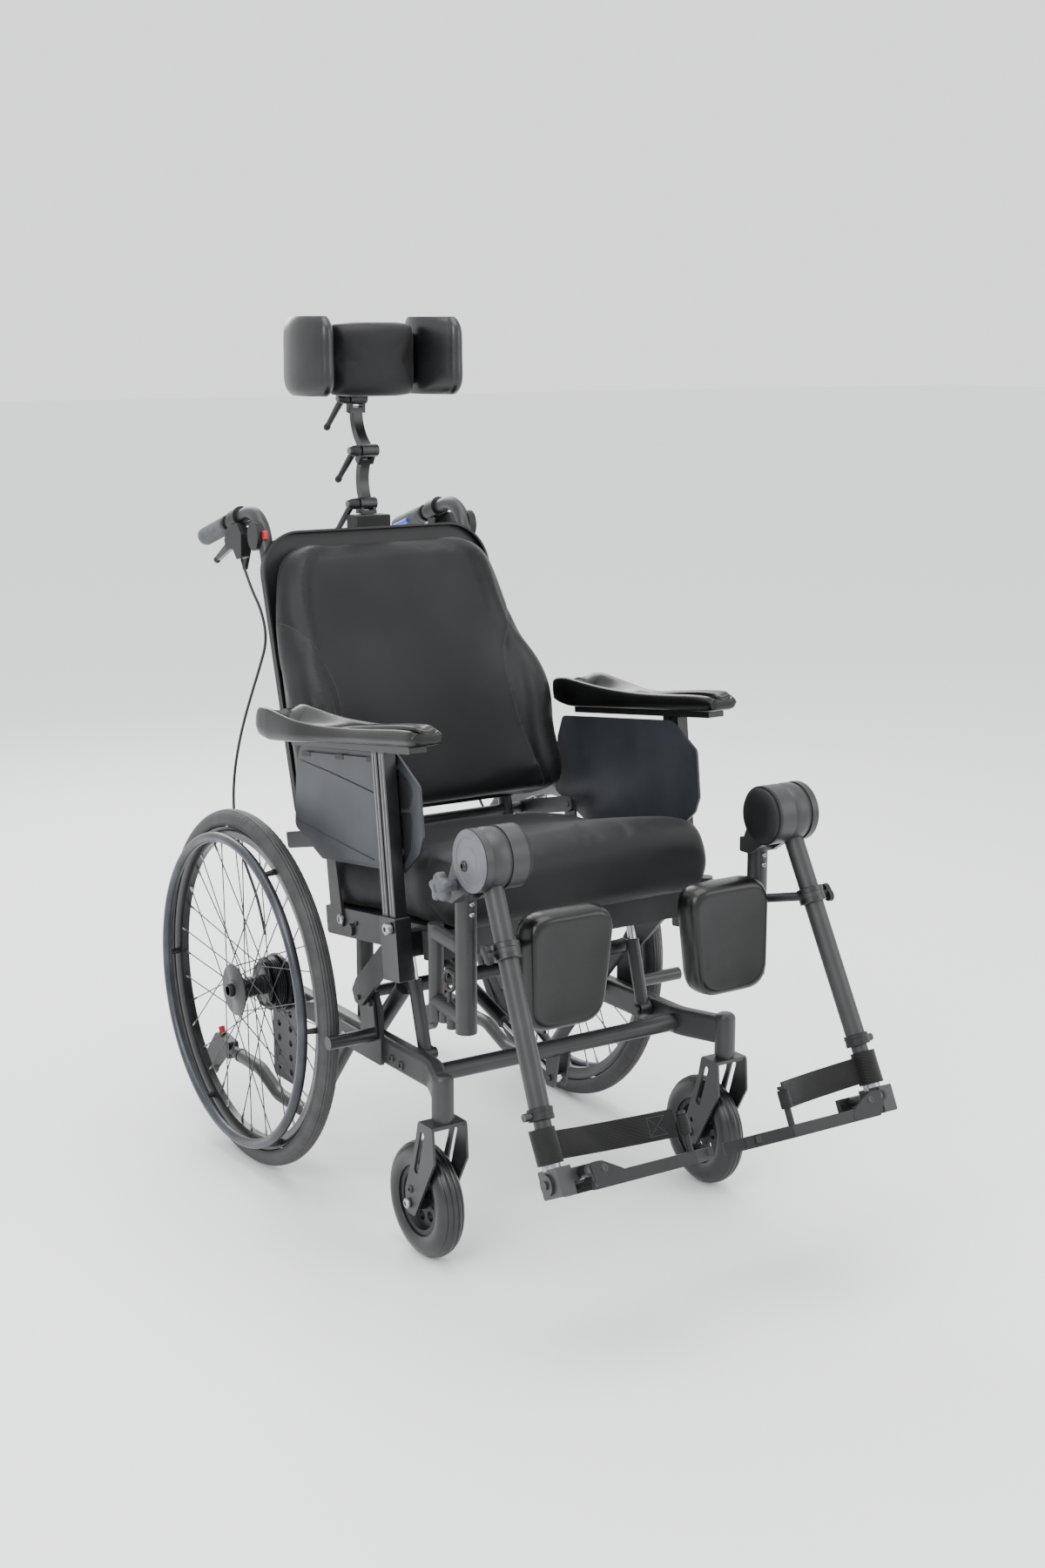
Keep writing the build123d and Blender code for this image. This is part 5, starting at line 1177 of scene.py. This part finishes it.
SCREWS = [
    ("side_plate_bolt", "seat", 240, SEAT, -28, 15, 9, zinc),
    ("side_plate_screw", "seat", 236, SEAT, 18, 12, 4, black_dip),
    ("side_plate_front", "seat", 236, SEAT, 120, 16, 5, zinc),
    ("cane_knob", "back", 212, BACK, -152, 434, 8, zinc),
    ("rail_bolt", "base", 250, FLOOR, 399, 270, 7, black_dip),
    ("rail_screw", "base", 250, FLOOR, 369, 273, 6, black_dip),
    ("lock_plate_bolt", "base", 256, FLOOR, 222, 272, 6, zinc),
]
for name, side in SIDES:
    for label, body, x, view, a, b, r, finish in SCREWS:
        mesh = screw(bmesh.new(), spot(view, side * x, a, b), Vector((side, 0, 0)), r)
        piece(f"{label}_{name}", mesh, body, finish)
    mesh = screw(bmesh.new(), place(side * 300, 511, 115), Vector((side, 0, 0)), 6)
    piece("fork_screw_" + name, mesh, "fork_" + name, black_dip)
    mesh = screw(bmesh.new(), place(side * 304, 506, 91), Vector((side, 0, 0)), 8)
    piece("caster_bolt_" + name, mesh, "fork_" + name, zinc)
    mesh = bmesh.new()
    for z in (590, 574):
        screw(mesh, place(side * 270, 642.6, z), Vector((0, -1, 0)), 4)
    piece("post_screws_" + name, mesh, "hanger_" + name, zinc)
print(len(SCREWS) * 2 + 6, "screw pieces")

# %% [markdown]
# ## Armrest sockets
#
# The socket of each armrest is kept from the drawings. Its lock bolt has a bright turned head,
# in place of the plain pin of the drawings. The posts' grooves catch light lines; a groove cut into
# the post would need a boolean, so light grey strips half a millimetre proud paint those
# highlights.

# %% Armrest sockets and posts
SMALL_M = 0.05
for mesh in islands("armrest_receivers"):
    low, high = reach(mesh)
    if high.z - low.z < SMALL_M:
        mesh.free()
        continue
    label = "left" if low.x > 0 else "right"
    socket = piece("armrest_socket_" + label, mesh, "seat", black_dip)
    if label == "right":
        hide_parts("armrest_receivers")
for name, side in SIDES:
    head = [(-1, 5), (1, 5), (1.5, 9), (9, 9.4), (10.5, 8.4), (11, 6), (11, 4), (7, 3.6)]
    mesh = turn_on(bmesh.new(), spot(SEAT, side * 290, 231, 36), Vector((side, 0, 0)), head, 32)
    piece("armrest_lock_bolt_" + name, mesh, "seat", zinc)
    # Four light grey strips on each post: painted highlights along its grooves.
    mesh = bmesh.new()
    for u in (205, 213, 227, 235):
        strip = [(u, 56), (u + 1.6, 56), (u + 1.6, 302), (u, 302)]
        lid(mesh, SEAT, strip, side * 285.8, side * 286.3)
    piece("post_highlight_strips_" + name, mesh, "armrest_" + name, post_highlight_grey)
print("sockets and posts are done")

# %% [markdown]
# ## Side panels
#
# The cover has two long moulded lines and three dark notches under the armrest, and the sheet in
# front of it has two recesses. Lines are thin beads half sunk in the plastic, because a bump map
# would lose them at this distance.

# %% Side panel relief
LINES = [[(-77, 277), (40, 259), (162, 237)], [(-108, 175), (20, 154), (150, 131)]]
NOTCHES = [(-71, -38), (45, 75), (148, 175)]
RECESSES = [
    [(223, 286), (272, 255), (277, 241), (265, 216), (231, 218), (222, 228)],
    [(227, 208), (271, 211), (262, 154), (229, 128), (219, 162)],
]
for name, side in SIDES:
    mesh = bmesh.new()
    for line in LINES:
        swept(mesh, [spot(SEAT, side * 266.1, u, w) for u, w in smooth_line(line, 8)], 1.1, 8)
    for recess in RECESSES:
        edge = rounded_outline(recess, 12, 5)
        swept(mesh, [spot(SEAT, side * 261.1, u, w) for u, w in edge], 1.0, 8, closed=True)
    piece("panel_lines_" + name, mesh, "armrest_" + name, moulded_black, 60)
    mesh = bmesh.new()
    for u0, u1 in NOTCHES:
        outline = rounded_outline([(u0, 284), (u1, 284), (u1 - 3, 292), (u0 + 3, 292)], 3, 3)
        lid(mesh, SEAT, outline, side * 265.6, side * 266.5)
    for recess in RECESSES:
        lid(mesh, SEAT, rounded_outline(recess, 12, 5), side * 260.6, side * 261.4)
    piece("panel_recesses_" + name, mesh, "armrest_" + name, moulded_black, 60)
print("panel lines:", len(LINES), "notches:", len(NOTCHES))

# %% [markdown]
# ## Legrest heads
#
# The elevation joint is a drum between two discs. The outer disc is grey with a dark bolt, the
# inner one has a black domed cap, and a five-lobed knob locks it, grey on the right and black on
# the left. A ring on the latch lets the hanger swing away. All but the ring are turned; the knob's
# lobes are a ripple along the turn.

# %% Legrest heads
DISC = [
    (299.6, 0.5), (299.6, 44.6), (301.2, 45.4), (302.6, 44), (302.6, 35),
    (301.8, 34), (301.8, 20), (302.6, 19), (302.6, 0.5),
]
CAP = [
    (230.3, 0.5), (230.3, 45.8), (226, 45.8), (225.4, 42.5),
    (222, 41.8), (219.6, 38), (218.6, 20), (218.6, 0.5),
]
DRUM = [(258, 42), (258.6, 43.8), (263, 45.4), (273, 46.2), (283, 45.4), (287.4, 43.8), (288, 42)]
KNOB = [
    (-0.5, 8), (13, 9), (14, 15.5), (16, 18.5), (27, 19), (30.5, 17), (32, 12), (32, 6), (30.5, 5)
]
LATCH_X, LATCH_F, LATCH_Z, LATCH_R = 262, 567, 455, 15


def lobes(angle, radius):
    """Five lobes, only where the knob is wide."""
    return 3.2 * math.cos(5 * angle) if radius > 15 else 0.0


def about_head(outline, side):
    """Turns an outline of (x, radius) points about the elevation joint."""
    return lathe(bmesh.new(), [(side * x, r) for x, r in outline], *HEAD, 96)


for name, side in SIDES:
    body = "hanger_" + name
    outward = Vector((side, 0, 0))
    solids = islands("legrest_hanger_" + name)
    solids.sort(key=lambda m: (reach(m)[1] - reach(m)[0]).z)
    arm = piece("hanger_arm_" + name, solids[-1], body, powder_coat)
    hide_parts("legrest_hanger_" + name)
    piece("head_disc_" + name, about_head(DISC, side), body, disc_grey)
    piece("head_cap_" + name, about_head(CAP, side), body, moulded_black)
    mesh = screw(bmesh.new(), place(side * 302.4, 677, 658), outward, 8, 4.5)
    piece("head_bolt_" + name, mesh, body, black_dip)
    mesh = turn_on(bmesh.new(), place(side * 300, 646, 623), outward, KNOB, 60, lobes)
    finish = grip_rubber if name == "right" else moulded_black
    piece("star_knob_" + name, mesh, body, finish, 50)
    loop = []
    for i in range(32):
        t = 2 * math.pi * i / 32
        ahead, up = LATCH_F + LATCH_R * math.cos(t), LATCH_Z + LATCH_R * math.sin(t)
        loop.append(place(side * LATCH_X, ahead, up))
    mesh = swept(bmesh.new(), loop, 3.6, 10, closed=True)
    rod(mesh, place(side * LATCH_X, LATCH_F, 418), place(side * LATCH_X, LATCH_F, 441), 4, 12)
    piece("latch_ring_" + name, mesh, body, black_dip)
    piece("drum_band_" + name, about_head(DRUM, side), "leg_" + name, powder_coat)
print("a knob has", len(KNOB) * 60, "points round its five lobes")

# %% [markdown]
# ## Leg clamps and sleeves
#
# Between the strap and the block the leg shows a short bright sleeve. The collar has a bolt, the
# calf clamp a wing knob, and a cover hides the footplate's hinge. The legs lean forward and
# outward, so one function gives a point on a leg's centre line and everything is turned on it.

# %% Leg details
SLEEVE_AT, COLLAR_AT, COLLAR_BOLT_AT, CLAMP_AT = 430, 372, 364, 134
SLEEVE = [(0, 12.4), (0.4, 13.3), (11.6, 13.3), (12, 12.4)]
LEG_COLLAR = [
    (-17, 17.6), (-16.4, 18.6), (-11, 18.6), (-10.4, 18.1), (-7, 18.1),
    (-6.4, 18.6), (0, 18.6), (0.6, 17.6), (0.6, 15.2),
]
CLAMP = [
    (-12, 19.6), (-11, 20.8), (-4, 20.8), (-3.4, 20), (3.4, 20), (4, 20.8), (11, 20.8), (12, 19.6)
]
WING_KNOB = [(0, 5), (8, 5.5), (9, 11), (16, 12), (18, 9), (18, 1)]
HINGE = [(263, 11), (244, 12), (206, -9), (200, -24), (258, -25)]


def on_leg(side, distance):
    """A point on a leg tube's centre line."""
    angle = math.radians(LEG_ANGLE)
    ahead, up = HEAD[0] + math.cos(angle) * distance, HEAD[1] - math.sin(angle) * distance
    return place(side * (272 + LEG_SPLAY * distance), ahead, up)


def wings(angle, radius):
    """Two wings, only where the knob is wide."""
    return 3.5 * math.cos(2 * angle) if radius > 8 else 0


for name, side in SIDES:
    outward = Vector((side, 0, 0))
    way = on_leg(side, 300) - on_leg(side, 200)
    mesh = turn_on(bmesh.new(), on_leg(side, SLEEVE_AT), way, SLEEVE, 40)
    piece("leg_sleeve_" + name, mesh, "foot_" + name, inner_tube)
    mesh = turn_on(bmesh.new(), on_leg(side, COLLAR_AT), way, LEG_COLLAR, 40)
    piece("leg_collar_" + name, mesh, "leg_" + name, moulded_black)
    start = on_leg(side, COLLAR_BOLT_AT) + Vector((side * 0.018, 0, 0))
    mesh = screw(bmesh.new(), start, outward, 6)
    piece("leg_collar_bolt_" + name, mesh, "leg_" + name, zinc)
    mesh = turn_on(bmesh.new(), on_leg(side, CLAMP_AT), way, CLAMP, 40)
    piece("calf_clamp_" + name, mesh, "leg_" + name, black_dip)
    start = on_leg(side, CLAMP_AT) + Vector((side * 0.019, 0, 0))
    mesh = turn_on(bmesh.new(), start, outward, WING_KNOB, 36, wings)
    piece("calf_clamp_knob_" + name, mesh, "leg_" + name, moulded_black, 60)
    mesh, rings = bmesh.new(), []
    for a in (45.2, 50.4):
        edge = rounded_outline(HINGE, 8, 4)
        rings.append([mesh.verts.new(spot(FOOT, side * x, a, b)) for x, b in edge])
    skin(mesh, rings)
    piece("hinge_cover_" + name, mesh, "plate_" + name, moulded_black)
    mesh = screw(bmesh.new(), spot(FOOT, side * 241, 50, 0), forward(FOOT), 6, 1.6)
    piece("hinge_bolt_" + name, mesh, "plate_" + name, black_dip)
print("leg collar is at", [round(v, 3) for v in on_leg(1, COLLAR_AT)])

# %% [markdown]
# ## Anti-tippers and headrest clamps
#
# The anti-tipper's three solids are a leg, a small rubber wheel and a red button. They are lifted
# out of one node, so that each gets its own finish. The headrest's joints are tightened by
# barrels with grey end caps, and each barrel has a short clamp lever with a knob.

# %% Anti-tippers and headrest clamps
TIP_PARTS = (
    ("button", signal_red, "gloss_plastic"),
    ("wheel", caster_rubber, "tyre_rubber"),
    ("leg", moulded_black, "matte_plastic"),
)
for name, side in SIDES:
    solids = islands("anti_tipper_" + name)
    solids.sort(key=lambda m: (reach(m)[1] - reach(m)[0]).y)
    for mesh, (label, finish, slot) in zip(solids, TIP_PARTS):
        made = piece(f"anti_tip_{label}_{name}", mesh, "anti_tipper_" + name, finish)
    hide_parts("anti_tipper_" + name)

PIVOTS = (
    ("headrest_post", -140, 1099),
    ("headrest_lower_link", -131, 1191),
    ("headrest_upper_link", -170, 1280),
)
CLAMP_CAP = [(34, 0.5), (34, 6.2), (37.6, 6.2), (38.6, 5), (38.6, 0.5)]
PIN_CAP = [(15.2, 0.5), (15.2, 10.6), (17.6, 10.4), (18.4, 8), (18.4, 0.5)]
BARREL = [(16, 0.5), (16, 8.6), (20, 10), (30, 9.4), (35, 7), (35, 0.5)]
LEVER_KNOB = [(-7, 3.8), (-4, 5.6), (2, 6.4), (6, 4.4), (7, 1)]
LEVER_KNOB_WAY = Vector((-0.1, 0.65, -0.75))
for body, f, z in PIVOTS:
    mesh = lathe(bmesh.new(), [(-x, r) for x, r in CLAMP_CAP], f, z, 32)
    piece("clamp_cap_" + body, mesh, body, disc_grey)
    mesh = lathe(bmesh.new(), PIN_CAP, f, z, 32)
    piece("pin_cap_" + body, mesh, body, black_dip)
    mesh = lathe(bmesh.new(), [(-x, r) for x, r in BARREL], f, z, 32)
    piece("clamp_barrel_" + body, mesh, body, moulded_black)
    lever_end = place(-35, f - 44, z - 50)
    mesh = rod(bmesh.new(), place(-28, f - 3, z - 3), lever_end, 6.2, 20, 4.8)
    piece("clamp_arm_" + body, mesh, body, black_dip)
    mesh = turn_on(bmesh.new(), lever_end, LEVER_KNOB_WAY, LEVER_KNOB, 20)
    piece("clamp_knob_" + body, mesh, body, moulded_black)

# %% [markdown]
# ## Heel straps
#
# A strap of 40 mm nylon webbing goes round the foot tube and is sewn to itself with a crossed
# box, then runs to the peg on the footplate. Cloth would find its hang, but the webbing is stiff
# and short, so a ribbon with a little slack and a few puckers is closer to it.

# %% Strap helpers
PEG = (92.0, 44.0)
STRAP_LOW, STRAP_HIGH = 16.0, 56.0
STRAP_ROWS = 6
AXIS_X = 272 + LEG_SPLAY * FOOT_AT


def ribbon(route, low, high, thick_mm, wave, lift=0.0):
    """Rings of a band that stands on a route of (x, a) points in the foot's view."""
    rings = []
    for i, (x, a) in enumerate(route):
        x0, a0 = route[max(i - 1, 0)]
        x1, a1 = route[min(i + 1, len(route) - 1)]
        size = math.hypot(x1 - x0, a1 - a0) or 1.0
        nx, na = (a1 - a0) / size, -(x1 - x0) / size
        share = i / (len(route) - 1)
        ring = []
        for sheet in (0.5, -0.5):
            order = range(STRAP_ROWS + 1) if sheet > 0 else range(STRAP_ROWS, -1, -1)
            for j in order:
                t = j / STRAP_ROWS
                puff = wave(share, t) + sheet * thick_mm
                b = low + (high - low) * t + lift * (1 - share)
                ring.append((x + nx * puff, a + na * puff, b))
        rings.append(ring)
    return rings


def woven(rings, side):
    """The rings of a band as a mesh on one foot."""
    mesh = bmesh.new()
    made = [[mesh.verts.new(spot(FOOT, side * x, a, b)) for x, a, b in ring] for ring in rings]
    return skin(mesh, made)


def slack(share, t):
    """The band's soft hollows and small puckers."""
    calm = math.sin(math.pi * share)
    hollow = 1.8 * math.sin(7.0 * share + 2.4 * t)
    return calm * (hollow + 0.5 * math.sin(23.0 * share + 5.0 * t))


def snug(share, t):
    """The loop's slight waves where it is pulled tight."""
    return 0.5 * math.sin(6.28 * 3 * share + 3 * t)


def flat(share, t):
    """No waves."""
    return 0.0


print("straps are", round(STRAP_HIGH - STRAP_LOW), "mm wide")

# %% [markdown]
# Each strap is three pieces: the band, the loop round the tube and the small loop round the peg.
# The crossed box is one thread through eight corners.

# %% Straps
BOX = ((52, 1), (60, 1), (60, 5), (52, 5), (52, 1), (60, 5), (60, 1), (52, 5))
for name, side in SIDES:
    route = []
    for i in range(65):
        s = i / 64
        x = bowed(s, AXIS_X - 14.5, AXIS_X - 105, PEG[0] + 7)
        route.append((x, bowed(s, -1, -24, PEG[1] - 8)))
    rings = ribbon(route, STRAP_LOW, STRAP_HIGH, 2.6, slack, 10.0)
    mesh = woven(rings, side)
    box = [spot(FOOT, side * x, a, b) for x, a, b in (rings[i][j] for i, j in BOX)]
    stitched("strap_stitch_" + name, box, "plate_" + name, 0.5)
    strap = piece("heel_strap_band_" + name, mesh, None, webbing)
    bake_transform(strap)
    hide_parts("heel_strap_" + name)
    turns = [math.radians(8 * i) for i in range(46)]
    loop = [(AXIS_X + 17 * math.cos(t), 17 * math.sin(t)) for t in turns]
    mesh = woven(ribbon(loop, STRAP_LOW + 6, STRAP_HIGH + 16, 3.4, snug), side)
    piece("heel_strap_loop_" + name, mesh, "foot_" + name, webbing)
    turns = [math.radians(10 * i) for i in range(37)]
    loop = [(PEG[0] + 7.4 * math.cos(t), PEG[1] + 7.4 * math.sin(t)) for t in turns]
    mesh = woven(ribbon(loop, STRAP_LOW + 1, 44, 2.2, flat), side)
    piece("heel_strap_peg_loop_" + name, mesh, "plate_" + name, webbing)
print("a strap's band has", len(strap.data.vertices), "vertices")

# %% [markdown]
# ## Brake cables
#
# Each cable drops from its lever, follows the cane behind the shell and bows out before it dives
# behind the wheel to the drum, and both the recline and the tilt hinge bend it. It is made as two
# lengths, upper and lower, that meet where the route first drops below 650 mm.

# %% Cable lengths
CABLE_D = 5.0
ROUTE = [
    (-213, -203.4, 1007.0), (-211, -176, 962), (-209, -138, 925), (-210, -118, 876),
    (-215, -139, 826), (-221, -165, 772), (-229, -187, 713), (-237, -200, 652),
    (-244, -199, 596), (-250, -183, 546), (-255, -151, 503), (-258, -110, 466),
    (-260, -72, 426), (-261, -50, 376),
]
MEET_Z_M = 0.650


def spline(name, points):
    """A NURBS line with the route's points as its control points, as an evaluated list."""
    curve = bpy.data.curves.new(name, "CURVE")
    curve.dimensions = "3D"
    line = curve.splines.new("NURBS")
    line.points.add(len(points) - 1)
    for point, co in zip(line.points, points):
        point.co = (*co, 1.0)
    line.order_u = 3
    line.use_endpoint_u = True
    line.resolution_u = 12
    obj = bpy.data.objects.new(name, curve)
    bpy.context.scene.collection.objects.link(obj)
    graph = bpy.context.evaluated_depsgraph_get()
    plain = bpy.data.meshes.new_from_object(obj.evaluated_get(graph))
    path = [v.co.copy() for v in plain.vertices]
    bpy.data.objects.remove(obj)
    return path


def path_length(path):
    """The length of a path in metres."""
    return sum((b - a).length for a, b in zip(path, path[1:]))


for name, side in SIDES:
    whole = spline("route", [place(-side * x, f, z) for x, f, z in ROUTE])
    meet = next(i for i, p in enumerate(whole) if p.z < MEET_Z_M)
    for part, path, bodies, start, end in (
        ("upper", whole[: meet + 1], ("seat", "back"), (-200, 680), (-118, 876)),
        ("lower", whole[meet:], ("base", "seat"), (-72, 430), (-190, 620)),
    ):
        mesh = swept(bmesh.new(), path, CABLE_D / 2)
        cable = piece(f"brake_cable_{part}_{name}", mesh, None, cable_jacket)
        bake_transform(cable)
        if part == "upper":
            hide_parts("brake_cables")
        print(cable.name, round(path_length(path) * 1000), "mm")

# %% [markdown]
# ## The studio
#
# Black things need large, near lights, because what the eye reads on them is the reflection. A
# pale floor and a bright white world do most of it. A soft key stands to the camera's left, a
# fill to its right, one lamp behind draws the rims of the dark shapes and one hangs above.

# %% Floor and lights
floor_mesh = bmesh.new()
bmesh.ops.create_grid(floor_mesh, x_segments=2, y_segments=2, size=40)
floor_data = bpy.data.meshes.new("floor")
floor_mesh.to_mesh(floor_data)
floor_mesh.free()
floor = bpy.data.objects.new("floor", floor_data)
bpy.context.scene.collection.objects.link(floor)
floor_finish = bpy.data.materials.new("studio_floor")
floor_finish.use_nodes = True
sheen = floor_finish.node_tree.nodes["Principled BSDF"]
sheen.inputs["Base Color"].default_value = linear("f3f4f5")
sheen.inputs["Roughness"].default_value = 0.55
dress(floor, floor_finish)

world = bpy.data.worlds.new("studio_world")
world.use_nodes = True
world.node_tree.nodes["Background"].inputs["Color"].default_value = linear("fbfcfd")
world.node_tree.nodes["Background"].inputs["Strength"].default_value = 1.6
bpy.context.scene.world = world


def softbox(name, place_m, aim_m, size, watts):
    """A square area light aimed at a point."""
    data = bpy.data.lights.new(name, "AREA")
    data.shape = "SQUARE"
    data.size = size
    data.energy = watts
    lamp = bpy.data.objects.new(name, data)
    lamp.location = place_m
    lamp.rotation_euler = (Vector(aim_m) - Vector(place_m)).to_track_quat("-Z", "Y").to_euler()
    bpy.context.scene.collection.objects.link(lamp)
    return lamp


softbox("key", (-3.2, -1.8, 3.0), (0, 0, 0.7), 2.0, 95)
softbox("fill", (2.6, -3.2, 2.2), (0, 0, 0.6), 2.4, 50)
softbox("back_strip", (0.6, 3.2, 2.6), (0, 0, 0.8), 2.0, 90)
softbox("top", (0, -0.4, 4.0), (0, 0, 0.5), 3.0, 110)
